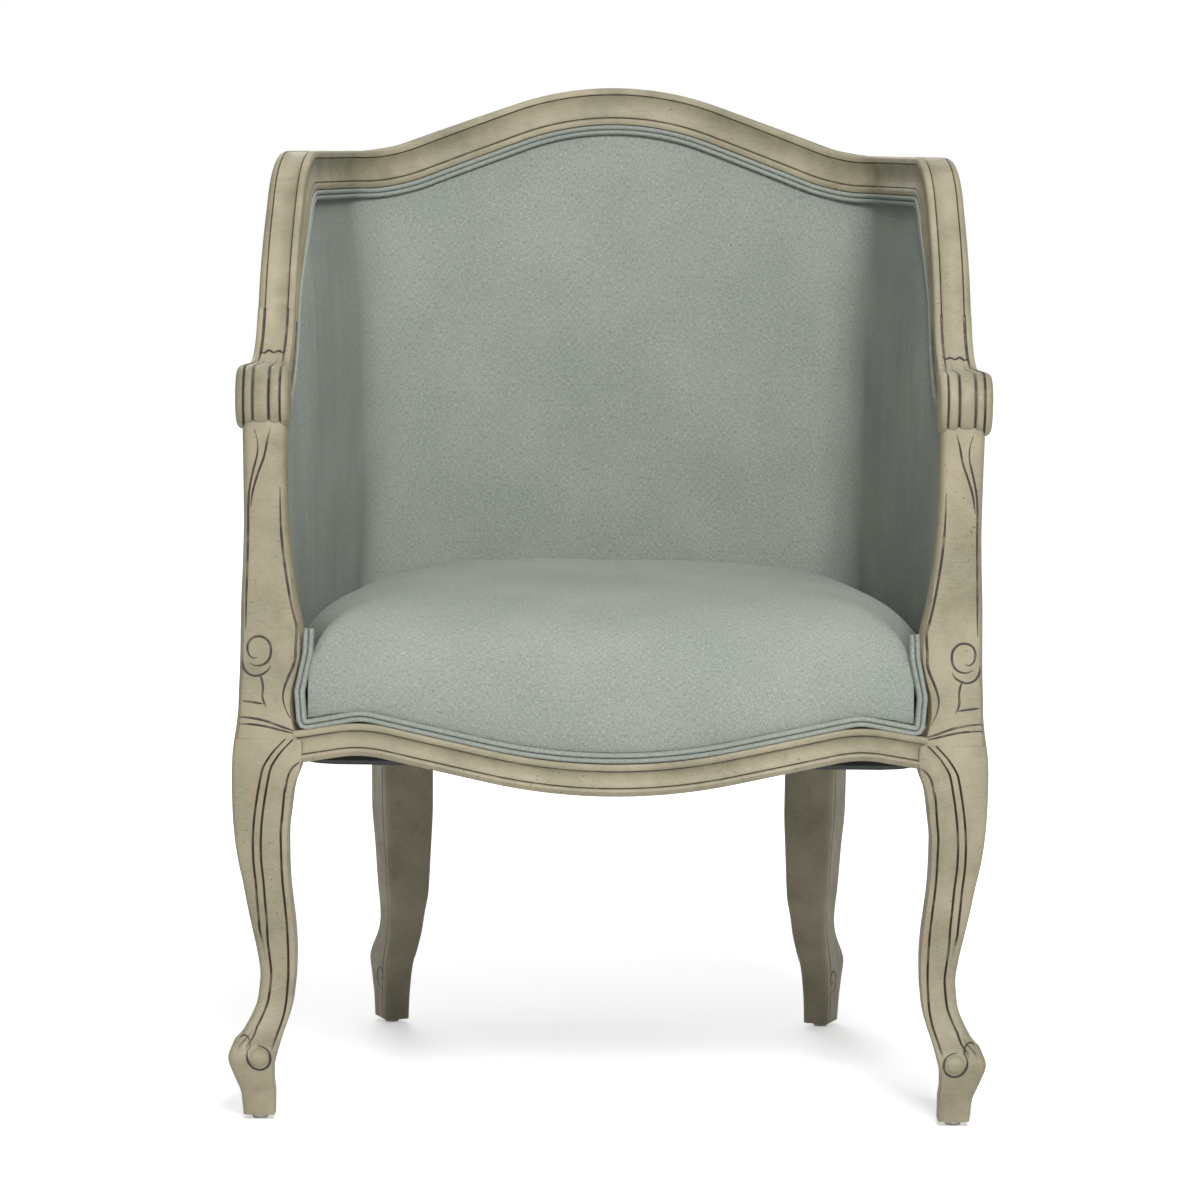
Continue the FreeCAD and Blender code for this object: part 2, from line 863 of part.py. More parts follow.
def seat_outline(share, height):
    """Plan of the seat at a height, drawn in by a share."""
    half = size("seat_front_half")
    middle = Vector(0, tub_back / 2, 0)
    points = []
    for run in seat_runs(run_at_front(size("leg_block") * 2)):
        above = max(0, height - size("pad_low"))
        face = pad_face(run, above / (wall_top(run) - size("pad_low")))
        place = wall(run, height, face - cloth - clearance * 2)
        points.append(Vector(place.x, place.y, 0))
    points.reverse()
    corner = size("leg_block") / 4
    near = corner * (1 - math.sqrt(1 / 2))
    left = seat_front(-half + corner, height)
    right = seat_front(half - corner, height)
    shoulder = size("leg_block") * 1.2
    points += [Vector(-half, shoulder, 0), Vector(-half, left.y + corner, 0)]
    points += [Vector(-half + near, left.y + near, 0)]
    points += [seat_front(x, height) for x in steps_between(-half + corner, half - corner, long_step * 3)]
    points += [Vector(half - near, right.y + near, 0)]
    points += [Vector(half, right.y + corner, 0), Vector(half, shoulder, 0)]
    drawn = [middle + (point - middle) * share for point in points]
    corners = [Vector(point.x, point.y, height) for point in drawn]
    return Part.makePolygon(corners + corners[:1])


SEAT_RING_SHARES = (0.985, 0.94, 0.86, 0.7, 0.45, 0.15)


def make_seat_body(grow, low, bottom):
    """Crowned seat block, grown by a distance on its top and sides, from a bottom height up."""
    top = size("seat_crown_height") - cloth - clearance + grow
    reach = tub_back / 2
    power = size("seat_crown_power")
    edge_share = 1 + grow / reach
    rim_top = size("pad_low") + size("welt_cord") * 3
    wires = [seat_outline(edge_share, height) for height in steps_between(low, rim_top, finest_step * 3 / 2)]
    if bottom < low:
        wires.insert(0, seat_outline(edge_share, bottom))
    for share in SEAT_RING_SHARES:
        rise = (1 - share ** power) ** (1 / power)
        wires.append(seat_outline(share + grow / reach, low + (top - low) * rise))
    return faceted(wires)


SHEET_SHARES = (-1, -0.9, -0.78, -0.4, 0, 0.4, 0.78, 0.9, 1)


def make_dust_cover():
    """Thin sheet under the seat, tacked to the rails' lower edges and taking up their sweeps."""
    thick = size("dust_thick")
    leg_inner = size("knee_reach") - size("leg_block") * LEG_SHARES[-1][2] - clearance * 4
    leg_back = size("leg_block") * LEG_SHARES[-1][2] + clearance * 4
    block_floor = deck_height - size("front_block_height")
    wires = []

    def add(half, y, low, arch_share):
        ridge = []
        for share in SHEET_SHARES:
            arch = front_rail_edge(half * share) - rail_low(front_run)
            held = arch * arch_share if abs(share) < SHEET_SHARES[-2] else 0
            ridge.append(Vector(half * share, y, min(low + held, block_floor) - clearance * 3))
        under = [point - Vector(0, 0, thick) for point in reversed(ridge)]
        wires.append(Part.makePolygon(ridge + under + ridge[:1]))

    front_y = size("front_rail_thick") / 2
    add(leg_inner, front_y, rail_low(front_run), 1)
    add(leg_inner, leg_back, rail_low(front_run), 1)
    back_y = wall(plan_spans()[0][0], rail_floor).y
    for run in steps_between(front_run - rebate * 2, long_step, finest_step * 3):
        place = wall(run, rail_floor, rail_width / 2)
        arch_share = 1 - smooth_share((place.y - leg_back) / (back_y - leg_back))
        add(place.x, place.y, rail_low(run), arch_share)
    return faceted(wires)


WELT_STUMP_SHARES = ((0.78, 1.61), (0.788, 1.33), (0.812, 0.72), (0.807, 0.3))


def seat_welt_samples():
    """Samples of the seat welt's middle line: down one stump, along the front rail, up the other."""
    rise = size("front_rail_face") + size("welt_cord") + clearance
    side = size("front_rail_side")
    slope = math.tan(degrees("front_rail_slope"))
    apex = size("front_rail_low_side") - slope * side
    radius = (size("front_rail_low") - apex) / (1 / math.cos(degrees("front_rail_slope")) - 1)
    climb = [(size("knee_reach") * across, size("leg_height") + size("leg_block") * up)
             for across, up in WELT_STUMP_SHARES]
    foot = (climb[-1][0], size("front_rail_end_height") + rise)
    flank = (side, size("front_rail_low_side") + rise)
    right = climb[:-1] + [foot, flank]
    turn = size("welt_cord") * 3
    corners = right + [(0, apex + rise)] + [(-x, height) for x, height in reversed(right)]
    radii = [turn, turn, turn / 2, size("front_rail_side_radius") / 2]
    samples = rounded_path(corners, radii + [radius] + radii[::-1], finest_step / 2)
    return thinned_evenly(samples)


# Cloth and stuffing in the tub wall

PAD_ROW_SHARES = (0, 0.35, 0.75, 1)
FOAM_TOP_SHARE = 0.93


def crown_at(run):
    bend_run = plan_spans()[0][0] + plan_spans()[1][0]
    settle = smooth_share(abs(run) / bend_run - 1 / 2)
    return size("back_crown") + (size("arm_crown") - size("back_crown")) * settle


def pad_face(run, share):
    """Distance of the inside cloth's inner side from the rail's inner face, at a share of its height."""
    top = rebate - clearance * 2 - size("hessian")
    straight = -size("pad_edge") + (top + size("pad_edge")) * share
    return straight - crown_at(run) * 4 * share * (1 - share)


def wall_soft(front_distance, top_share, front_of, back_of):
    """Solid in the tub wall with a crowned front; its front and back are given by a height share."""
    below, above = PAD_ROW_SHARES[-2:]
    low = size("pad_low")
    rows = PAD_ROW_SHARES[:-1] + (top_share,)
    wires = []
    for run, full in inset_edge(rim_samples(front_distance), rail_depth + size("welt_cord") / 2):
        def place(share, out_of):
            local = max(0, (share - below) / (above - below))
            out = out_of(run, min(share, below)) * (1 - local) + out_of(run, above) * local
            return wall(run, low + (full - low) * share, out)

        corners = [place(share, front_of) for share in rows]
        corners += [place(share, back_of) for share in reversed(rows)]
        wires.append(Part.makePolygon(corners + corners[:1]))
    return faceted(wires)


def wall_sheet(front_distance, top_inset, low, inner, thick):
    """Thin flat layer in the tub wall, from a height up to a line inside the rim's edge."""
    wires = []
    for run, high in inset_edge(rim_samples(front_distance), top_inset):
        corners = [
            wall(run, low, inner),
            wall(run, high, inner),
            wall(run, high, inner + thick),
            wall(run, low, inner + thick),
        ]
        wires.append(Part.makePolygon(corners + corners[:1]))
    return faceted(wires)


def double_welt(inset, seat_out, proud_out):
    """Section of two stitched cords side by side; out runs from the seat to the proud side."""
    cord = size("welt_cord")
    shoulder = seat_out + (proud_out - seat_out) / 2
    first = inset + clearance
    return [
        (first, seat_out),
        (first, shoulder),
        (first + cord / 2, proud_out),
        (first + cord, shoulder),
        (first + cord * 3 / 2, proud_out),
        (first + cord * 2, shoulder),
        (first + cord * 2, seat_out),
    ]


# Seat suspension, blocks and small parts

STRAP_SIZES = {"Height": "Sizes.strap_thick"}


def long_strap(number, x):
    rear_run = size("back_radius") * math.asin(x / size("back_radius"))
    start = front_face(x, 0, size("ledge_set_back") + clearance).y
    end = wall(rear_run, deck_height, size("strap_land")).y
    corner = Vector(x - size("strap_width") / 2, start, deck_height)
    strap = bound("Part::Box", f"long_strap_{number}", {**STRAP_SIZES, "Length": "Sizes.strap_width"},
                  Placement(corner, Rotation()))
    strap.Width = end - start
    return strap


def cross_strap(number, y):
    half = wall(run_at_depth(y, deck_height), deck_height, size("strap_land")).x
    corner = Vector(-half, y - size("strap_width") / 2, deck_height + size("strap_thick"))
    strap = bound("Part::Box", f"cross_strap_{round(number)}", {**STRAP_SIZES, "Width": "Sizes.strap_width"},
                  Placement(corner, Rotation()))
    strap.Length = half * 2
    return strap


def largest_solid(shape):
    return max(shape.Solids, key=lambda solid: solid.Volume)


def prism(points, low, height):
    corners = [Vector(point.x, point.y, low) for point in points]
    return Part.Face(Part.makePolygon(corners + corners[:1])).extrude(Vector(0, 0, height))


def screw(number, head, direction):
    """Countersunk screw whose head lies flush at a point."""
    place = standing(head, Vector(direction).normalize())
    cone = bound("Part::Cone", f"screw_head_{number}", {
        "Radius1": "Sizes.screw_head_radius",
        "Radius2": "Sizes.screw_radius",
        "Height": "Sizes.screw_head_height",
    }, place)
    shank = bound("Part::Cylinder", f"screw_shank_{number}", {
        "Radius": "Sizes.screw_radius",
        "Height": "Sizes.screw_length",
    }, place)
    return joined("Part::MultiFuse", f"screw_{number}", [cone, shank])


def glide(name, foot):
    """Nail-on glide: a low cone under the leg and its nail."""
    place = Placement(Vector(foot.x, foot.y, 0), Rotation())
    cup = bound("Part::Cone", name + "_cup", {
        "Radius1": "Sizes.glide_radius * 3 / 4",
        "Radius2": "Sizes.glide_radius",
        "Height": "Sizes.glide_height",
    }, place)
    nail = bound("Part::Cylinder", name + "_nail", {
        "Radius": "Sizes.glide_pin_radius",
        "Height": "Sizes.glide_height + Sizes.glide_pin_length",
    }, place)
    keep_object(joined("Part::MultiFuse", name, [cup, nail]))


def dowel(number, centre, direction):
    axis = Vector(direction).normalize()
    return bound("Part::Cylinder", f"dowel_{number}", {
        "Radius": "Sizes.dowel_radius",
        "Height": "Sizes.dowel_length",
    }, standing(centre - axis * (size("dowel_length") / 2), axis))


def joint_pegs(name, ahead):
    """Two dowels across a joint of the rim, one above the other in the section."""
    origin, into, out = frame_at(wall, (*RIM[name], *ahead))
    across = out * (rail_width / 2)
    direction = out.cross(into)
    pegs = []
    for share in (1 / 3, 3 / 4):
        centre = origin + into * (rail_depth * share) + across
        pegs.append((centre, direction))
    return pegs


# Build

slope = degrees("crest_slope")
strip_turn = math.atan2(wing_height - arm_height, size("wing_foot_run") - size("wing_corner_run"))
post_half = size("rear_post_width") / 2
rear_run = size("rear_leg_run")
stile_half = size("stile_width") / 2
tack_low = size("tack_rail_low")
tack_high = tack_low + size("tack_rail_height")
block_back = size("leg_block") * STUMP_SHARES[0][4]
front_run = run_at_front(block_back)
corner_step = size("corner_radius") * degrees("facet_turn")

crest = rim_rail(CREST_SAMPLES)
wing = rim_rail(WING_SAMPLES)
arm = make_arm()
front_post = make_front_post()
rear_post = make_rear_post()
front_rail = make_front_rail()
side_rail = largest_solid(seat_rail(rear_run + post_half, front_run).cut([front_post, rear_post]))
rear_rail = seat_rail(-rear_run + post_half, rear_run - post_half)
rear_rail = rear_rail.cut([rear_post, mirror_shape(rear_post)])
dust_cover = make_dust_cover().cut([rear_post, mirror_shape(rear_post)])

stile = panel(
    steps_between(size("stile_run") - stile_half, size("stile_run") + stile_half, long_step),
    constant(deck_height),
    lambda run: height_under_rim(run, rail_depth + tongue),
    constant(rebate + clearance),
    constant(rail_width - rebate - clearance),
)


def tack_rail(start, end):
    return panel(steps_between(start, end, corner_step), constant(tack_low), constant(tack_high),
                 constant(rebate + clearance), constant(rail_width - rebate - clearance))


tack_back = tack_rail(-rear_run + post_half, rear_run - post_half)
tack_side = tack_rail(rear_run + post_half, size("stile_run") - stile_half)
tack_arm = tack_rail(size("stile_run") + stile_half, front_run)

# tenons and their mortises
gap = size("joint_gap")
rail_middle = (rail_floor + deck_height) / 2
tenon_height = size("tenon_height")
tenon_thick = size("tenon_thick")
front_rail = front_rail.cut([front_post, mirror_shape(front_post), front_ledge()])
front_rail = largest_solid(front_rail)
front_tenon_start = front_face(size("front_rail_end") - tongue, deck_height - tenon_height / 2 + rebate,
                               size("ledge_set_back"))
front_tenon_length = tongue + size("tenon_length")
across = Vector(1, 0, 0)
front_tenon = bar(front_tenon_start, across, front_tenon_length, tenon_thick, tenon_height / 2)
front_mortise = bar(front_tenon_start, across, front_tenon_length, tenon_thick, tenon_height / 2, gap)


def wall_tenon(run, turn, length, grow=0.0):
    """Tenon that leaves a seat rail at a run, towards the front (turn 1) or the back (turn -1)."""
    heading = plan_point(abs(run))[2]
    direction = Vector(math.cos(heading), -math.sin(heading), 0) * turn
    middle = (rail_low(run) + deck_height) / 2
    start = wall(run, middle, rail_width / 2) - direction * tenon_thick
    return bar(start, direction, length + tenon_thick, tenon_thick, tenon_height, grow)


rear_length = size("rear_tenon_length")
side_front_tenon = wall_tenon(front_run, 1, size("tenon_length"))
side_rear_tenon = wall_tenon(rear_run + post_half, -1, rear_length)
rear_tenon = wall_tenon(rear_run - post_half, 1, rear_length)
side_rail = side_rail.fuse([side_front_tenon, side_rear_tenon])
rear_rail = rear_rail.fuse([rear_tenon, mirror_shape(rear_tenon)])
front_rail = front_rail.fuse([front_tenon, mirror_shape(front_tenon)])

# dowels
crest_pegs = joint_pegs("crest_joint", (math.cos(slope), -math.sin(slope)))
wing_pegs = joint_pegs("wing_joint", (math.cos(strip_turn), -math.sin(strip_turn)))
knuckle_middle = (size("knuckle_inner") + size("knuckle_outer")) / 2
stump_peg = [(Vector(knuckle_middle, size("knuckle_radius"), arm_height - size("knuckle_radius") * 2),
              Vector(0, 0, 1))]


def dowel_holes(places):
    return [peg(centre, direction, size("dowel_radius") + gap, size("dowel_length") + gap * 2)
            for centre, direction in places]


crest_holes = dowel_holes(crest_pegs)
crest = crest.cut(crest_holes + [mirror_shape(hole) for hole in crest_holes])
wing = wing.cut(crest_holes + dowel_holes(wing_pegs))
arm = arm.cut(dowel_holes(wing_pegs + stump_peg))
dowel_places = crest_pegs + wing_pegs + stump_peg
dowel_places += [(mirror_vector(centre), mirror_vector(direction)) for centre, direction in dowel_places]

# corner blocks and their screws
block_size = size("block_size")
corner = Vector(wall(front_run, deck_height).x + rebate, block_back - block_size / 2, 0)
front_block = prism(
    [corner - Vector(block_size * 4 / 3, 0, 0), corner, corner + Vector(0, block_size * 5 / 3, 0)],
    deck_height - size("front_block_height"),
    size("front_block_height"),
)
front_block = largest_solid(front_block.cut([front_rail, side_rail, front_post]))
rear_heading = plan_point(rear_run)[2]
rear_out = Vector(math.sin(rear_heading), math.cos(rear_heading), 0)
rear_along = Vector(math.cos(rear_heading), -math.sin(rear_heading), 0)
rear_corner = wall(rear_run, rail_middle, rebate)
rear_block = prism(
    [
        rear_corner - rear_along * block_size,
        rear_corner - rear_along * (block_size / 3) - rear_out * (block_size * 2 / 3),
        rear_corner + rear_along * (block_size / 3) - rear_out * (block_size * 2 / 3),
        rear_corner + rear_along * block_size,
    ],
    rail_floor + (size("seat_rail_height") - size("rear_block_height")) / 2,
    size("rear_block_height"),
)
rear_block = largest_solid(rear_block.cut([rear_rail, side_rail, rear_post]))

front_post = front_post.cut([arm, front_mortise, wall_tenon(front_run, 1, size("tenon_length"), gap)]
                            + dowel_holes(stump_peg))
rear_post = rear_post.cut([wall_tenon(rear_run + post_half, -1, rear_length, gap),
                           wall_tenon(rear_run - post_half, 1, rear_length, gap)])


def glide_centre(post):
    """Middle of a leg's bottom face."""
    bottom = min(post.Faces, key=lambda face: face.CenterOfMass.z)
    return bottom.CenterOfMass


front_foot = glide_centre(front_post)
rear_foot = glide_centre(rear_post)


def nail_hole(foot):
    return Part.makeCylinder(size("glide_pin_radius") + gap, size("glide_pin_length") + gap, foot)


front_post = front_post.cut(nail_hole(front_foot))
rear_post = rear_post.cut(nail_hole(rear_foot))

screw_height = deck_height - size("front_block_height") / 2
front_aim = Vector(1, -1, 0)
front_head = front_block.CenterOfMass - front_aim * tenon_thick
front_head.z = screw_height
rear_head = rear_corner - rear_out * (block_size * 2 / 3)
rear_head.z = rail_middle


def screw_hole(head, direction):
    axis = Vector(direction).normalize()
    radius = size("screw_radius") + gap
    sink = Part.makeCone(size("screw_head_radius") + gap, radius, size("screw_head_height"), head, axis)
    return Part.makeCylinder(radius, size("screw_length") + gap, head, axis).fuse(sink)


front_hole = screw_hole(front_head, front_aim)
rear_hole = screw_hole(rear_head, rear_out)
front_block = front_block.cut(front_hole)
front_rail = front_rail.cut([front_hole, mirror_shape(front_hole)])
front_post = front_post.cut(front_hole)
side_rail = largest_solid(side_rail.cut([front_hole, rear_hole]))
rear_block = rear_block.cut(rear_hole)
rear_post = rear_post.cut(rear_hole)
rear_rail = rear_rail.cut([rear_hole, mirror_shape(rear_hole)])
screw_places = [(front_head, front_aim), (rear_head, rear_out)]
screw_places += [(mirror_vector(head), mirror_vector(aim)) for head, aim in screw_places]

# upholstery
welt_foot = size("leg_block") * STUMP_SHARES[-1][4] + clearance
hessian_out = rebate - clearance - size("hessian")
foam_back = hessian_out - clearance
inside_hessian = wall_sheet(welt_foot, rail_depth + size("welt_cord"), tack_low, hessian_out, size("hessian"))
inside_foam = wall_soft(
    welt_foot,
    FOAM_TOP_SHARE,
    lambda run, share: pad_face(run, share) + cloth + clearance,
    lambda run, share: foam_back,
)
inside_cover = wall_soft(
    welt_foot,
    1,
    lambda run, share: pad_face(run, share),
    lambda run, share: pad_face(run, share) + cloth,
)
welt_samples = rim_samples(welt_foot)
welt_seat = pad_face(0, 1) - size("welt_cord") / 2
inside_welt_outline = double_welt(rail_depth, welt_seat, -clearance)
inside_welt = swept(wall, welt_samples, lambda share: inside_welt_outline)
batting_in = rail_width - rebate + clearance
outside_padding = wall_sheet(welt_foot, rail_depth + size("welt_cord"), deck_height + clearance, batting_in,
                             size("batting"))
cover_in = batting_in + size("batting") + clearance
cloth_low = deck_height + clearance
outside_cover = wall_sheet(welt_foot, rail_depth + size("welt_cord") / 2, cloth_low, cover_in, cloth)
outer_seat = cover_in + cloth + clearance
outside_outline = double_welt(rail_depth, outer_seat, outer_seat + size("welt_cord") - clearance * 3)
outside_welt = swept(wall, welt_samples, lambda share: outside_outline)

long_straps = [long_strap(step + 3, size("strap_pitch") * step) for step in (-2, -1, 0, 1, 2)]
strap_middle = tub_back / 2
cross_straps = [cross_strap(step + 3, strap_middle + size("strap_pitch") * step)
                for step in (-3 / 2, -1 / 2, 1 / 2, 3 / 2)]
sheet_low = deck_height + size("strap_thick") * 2
seat_hessian = Part.Face(seat_outline(1, sheet_low))
seat_hessian = seat_hessian.extrude(Vector(0, 0, size("hessian")))
seat_low = sheet_low + size("hessian") + clearance
foam = make_seat_body(0, seat_low, seat_low)
cover_outer = make_seat_body(clearance + cloth, seat_low, seat_low)
cover_inner = make_seat_body(clearance, seat_low, seat_low - overrun)
seat_cover = cover_outer.cut(cover_inner)
welt_proud = -size("welt_cord") / 4
welt_half = size("welt_cord") + clearance
seat_welt_outline = double_welt(-welt_half, rebate - cloth * 2 - clearance, welt_proud)
seat_welt = swept(front_face, seat_welt_samples(), lambda share: seat_welt_outline)
seat_welt = largest_solid(seat_welt.cut([front_post, mirror_shape(front_post)]))

keep("crest_rail", crest)
keep_pair("wing_rail", wing)
keep_pair("arm_rail", arm)
keep_pair("front_post", front_post)
keep_pair("rear_post", rear_post)
keep("front_seat_rail", front_rail)
keep_pair("side_seat_rail", side_rail)
keep("rear_seat_rail", rear_rail)
keep_pair("side_stile", stile)
keep_pair("tacking_rail_side", tack_side)
keep_pair("tacking_rail_arm", tack_arm)
keep("tacking_rail_back", tack_back)
keep_pair("corner_block_front", front_block)
keep_pair("corner_block_rear", rear_block)
keep_object(joined("Part::Compound", "corner_block_screws",
                   [screw(number, *place) for number, place in enumerate(screw_places)]))
keep_object(joined("Part::Compound", "frame_dowels",
                   [dowel(number, *place) for number, place in enumerate(dowel_places)]))
keep_object(joined("Part::Compound", "seat_webbing_long", long_straps))
keep_object(joined("Part::Compound", "seat_webbing_cross", cross_straps))
keep("dust_cover", largest_solid(dust_cover))
keep("seat_hessian", seat_hessian)
keep("seat_foam", foam)
keep("seat_cover", seat_cover)
keep("seat_welt", seat_welt)
keep("inside_hessian", inside_hessian)
keep("inside_foam", inside_foam)
keep("inside_cover", inside_cover)
keep("inside_welt", inside_welt)
keep("outside_padding", outside_padding)
keep("outside_cover", outside_cover)
keep("outside_welt", outside_welt)
for foot_name, foot in (("glide_front", front_foot), ("glide_rear", rear_foot)):
    glide(foot_name + "_right", foot)
    glide(foot_name + "_left", mirror_vector(foot))
doc.recompute()

# middle of the whole chair's depth becomes Y 0
front_edge = front_rail.tessellate(clearance)[0]
back_edge = crest.tessellate(clearance)[0]
nearest = min(point.y for point in front_edge + seat_welt.tessellate(clearance)[0])
farthest = max(point.y for point in back_edge)
for node in NODES:
    node.Placement = Placement(Vector(0, -(nearest + farthest) / 2, 0), Rotation())
doc.recompute()
failed = []
for node in NODES:
    if "Invalid" in node.State or "Error" in node.State or node.Shape.isNull() or not node.Shape.isValid():
        failed.append(node.Label)
if failed:
    raise RuntimeError("these pieces aren't sound: " + ", ".join(failed))
os.makedirs("parts", exist_ok=True)
for node in NODES:
    node.Shape.exportStep(os.path.join("parts", node.Label + ".step"))
    box = node.Shape.BoundBox
    print(node.Label, len(node.Shape.Solids), [round(value, 1) for value in (
        box.XMin, box.XMax, box.YMin, box.YMax, box.ZMin, box.ZMax)])
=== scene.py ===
from math import atan2, ceil, copysign, cos, hypot, pi, radians, sin, sqrt, tan, tau

import bmesh
import bpy
from mathutils import Matrix, Vector, noise


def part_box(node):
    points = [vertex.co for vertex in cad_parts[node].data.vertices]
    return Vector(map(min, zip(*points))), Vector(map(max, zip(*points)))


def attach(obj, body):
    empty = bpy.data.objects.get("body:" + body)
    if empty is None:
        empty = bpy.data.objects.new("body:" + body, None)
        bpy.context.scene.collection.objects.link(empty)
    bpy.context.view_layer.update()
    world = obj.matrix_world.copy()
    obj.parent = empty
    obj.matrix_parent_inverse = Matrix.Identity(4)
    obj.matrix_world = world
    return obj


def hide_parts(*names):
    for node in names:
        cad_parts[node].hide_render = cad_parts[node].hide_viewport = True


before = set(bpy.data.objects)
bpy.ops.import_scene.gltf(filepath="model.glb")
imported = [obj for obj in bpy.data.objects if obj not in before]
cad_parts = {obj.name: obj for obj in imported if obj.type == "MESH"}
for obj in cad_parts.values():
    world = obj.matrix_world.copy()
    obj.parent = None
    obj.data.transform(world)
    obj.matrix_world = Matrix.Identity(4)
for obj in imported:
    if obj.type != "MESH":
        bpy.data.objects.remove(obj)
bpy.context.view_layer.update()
scene = bpy.context.scene

# Sizes in millimetres, as the frame's pieces have them; metres() turns points into metres.
MM = 0.001
# the tub's plan, from the middle of the back round to the arms, and its lean
TUB_BACK = 535
BACK_RADIUS = 544
BACK_TURN = radians(21.5)
CORNER_RADIUS = 74
SIDE_SPLAY = radians(8)
SIDE_LENGTH = 241
BLEND_RADIUS = 300
ARM_SPLAY = radians(2)
RAKE = tan(radians(2.5))
# the rim's edge: heights, and places along the tub's run
WING_HEIGHT = 838
CREST_HEIGHT = 900
CREST_SLOPE = radians(20.2)
CREST_RADIUS = 290
CREST_FOOT_RADIUS = 150
WING_CORNER_RUN = 499
WING_FOOT_RUN = 591
WING_RADIUS = 70
ARM_HEIGHT = 655
CREST_JOINT_RUN = 185
WING_JOINT_HEIGHT = 700
# the rail's section
RAIL_WIDTH = 33.4
RAIL_DEPTH = 35
BEAD = 6.6
REBATE = 7
TONGUE = 15
# arms' ends, knees and front rail
KNUCKLE_RADIUS = 27.5
KNUCKLE_INNER = 279
KNUCKLE_OUTER = 324.6
KNUCKLE_ROUND = 6
KNEE_REACH = 328.2
FRONT_BOW = 12
FRONT_SET_BACK = 4
FRONT_RAIL_END = 266
# cloths, welts and pads
CLOTH = 1.2
CORD = 4.6
WELT_END = 49.8
PAD_LOW = 352
BACK_CROWN = 15
ARM_CROWN = 7
PAD_EDGE = 4
DECK = 328
RAIL_FLOOR = 286
SEAT_CROWN = 459
SEAT_HALF = 261
# distance between the rows of a moulding, and the share of a corner's radius that its arc cuts off
STEP = 6
CUT = 1 - sqrt(1 / 2)

# front plane of the knees in the frame's own Y
Y_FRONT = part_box("front_seat_rail")[0][1] + FRONT_BOW * MM


def metres(point):
    return (point.x * MM, point.y * MM + Y_FRONT, point.z * MM)


# Tub wall and rim

PLAN_SPANS = (
    (BACK_RADIUS * BACK_TURN, 1 / BACK_RADIUS),
    (CORNER_RADIUS * (pi / 2 - SIDE_SPLAY - BACK_TURN), 1 / CORNER_RADIUS),
    (SIDE_LENGTH, 0),
    (BLEND_RADIUS * (SIDE_SPLAY - ARM_SPLAY), 1 / BLEND_RADIUS),
    (TUB_BACK, 0),
)
BEND_RUN = PLAN_SPANS[0][0] + PLAN_SPANS[1][0]


def plan_point(run):
    """Place and heading on the tub's plan after a run from the middle of the back."""
    x, y, heading = 0, TUB_BACK, 0
    left = run
    for length, curvature in PLAN_SPANS:
        used = min(left, length)
        turned = heading + used * curvature
        if curvature:
            x += (sin(turned) - sin(heading)) / curvature
            y += (cos(turned) - cos(heading)) / curvature
        else:
            x += used * cos(heading)
            y -= used * sin(heading)
        heading = turned
        left -= used
        if left <= 0:
            break
    return x, y, heading


def wall(run, height, out=0.0):
    """Point of the tub wall at a run, a height and a distance outside the rail's inner face."""
    side = -1 if run < 0 else 1
    x, y, heading = plan_point(abs(run))
    lean = (height - WING_HEIGHT) * RAKE * y / TUB_BACK
    return Vector((side * (x + out * sin(heading)), y + lean + out * cos(heading), height))


def front_face(x, height, inward=0.0):
    """Point of the bowed front of the seat rail."""
    bow = (FRONT_BOW + FRONT_SET_BACK) * (x / FRONT_RAIL_END) ** 2 - FRONT_BOW
    return Vector((x, bow + inward, height))


def run_at_front(distance):
    """Run at which the tub's plan reaches a distance behind the front plane."""
    bent = sum(length for length, curvature in PLAN_SPANS[:-1])
    return bent + (plan_point(bent)[1] - distance) / cos(ARM_SPLAY)


def shares(length, step):
    """Shares of a length about a step apart, without its end."""
    count = max(1, ceil(length / step))
    return [number / count for number in range(count)]


def rounded_path(corners, radii, step):
    """Samples (a, b, direction a, direction b) along a polyline whose inner corners are arcs."""
    points = [Vector(corner) for corner in corners]
    samples = []

    def add(place, heading):
        samples.append((place.x, place.y, heading.x, heading.y))

    start = points[0]
    for index in range(1, len(points)):
        here = points[index]
        direction = (here - points[index - 1]).normalized()
        turn = cut = 0
        if index < len(points) - 1:
            following = (points[index + 1] - here).normalized()
            radius = radii[index - 1]
            turn = atan2(direction.x * following.y - direction.y * following.x, direction.dot(following))
            cut = radius * tan(abs(turn) / 2)
        end = here - direction * cut
        for share in shares((end - start).length, step):
            add(start + (end - start) * share, direction)
        if turn:
            normal = Vector((-direction.y, direction.x)) * copysign(1, turn)
            for share in shares(radius * abs(turn), step):
                angle = abs(turn) * share
                place = end + direction * (radius * sin(angle)) + normal * (radius * (1 - cos(angle)))
                add(place, direction * cos(angle) + normal * sin(angle))
            start = here + following * cut
    add(points[-1], direction)
    return samples


def mirrored_corners(right, middle):
    """Corners of a line from its right end through its middle to its left end."""
    return right + [(0, middle)] + [(-x, height) for x, height in reversed(right)]


def frame_at(surface, sample):
    """Origin, into and out directions of a section that stands square to a path on a surface."""
    a, b, along_share, up_share = sample
    probe = 0.1
    along = (surface(a + probe, b) - surface(a - probe, b)).normalized()
    up = (surface(a, b + probe) - surface(a, b - probe)).normalized()
    tangent = (along * along_share + up * up_share).normalized()
    out = up.cross(along).normalized()
    into = out.cross(tangent).normalized()
    return surface(a, b), into, tangent.cross(into).normalized()


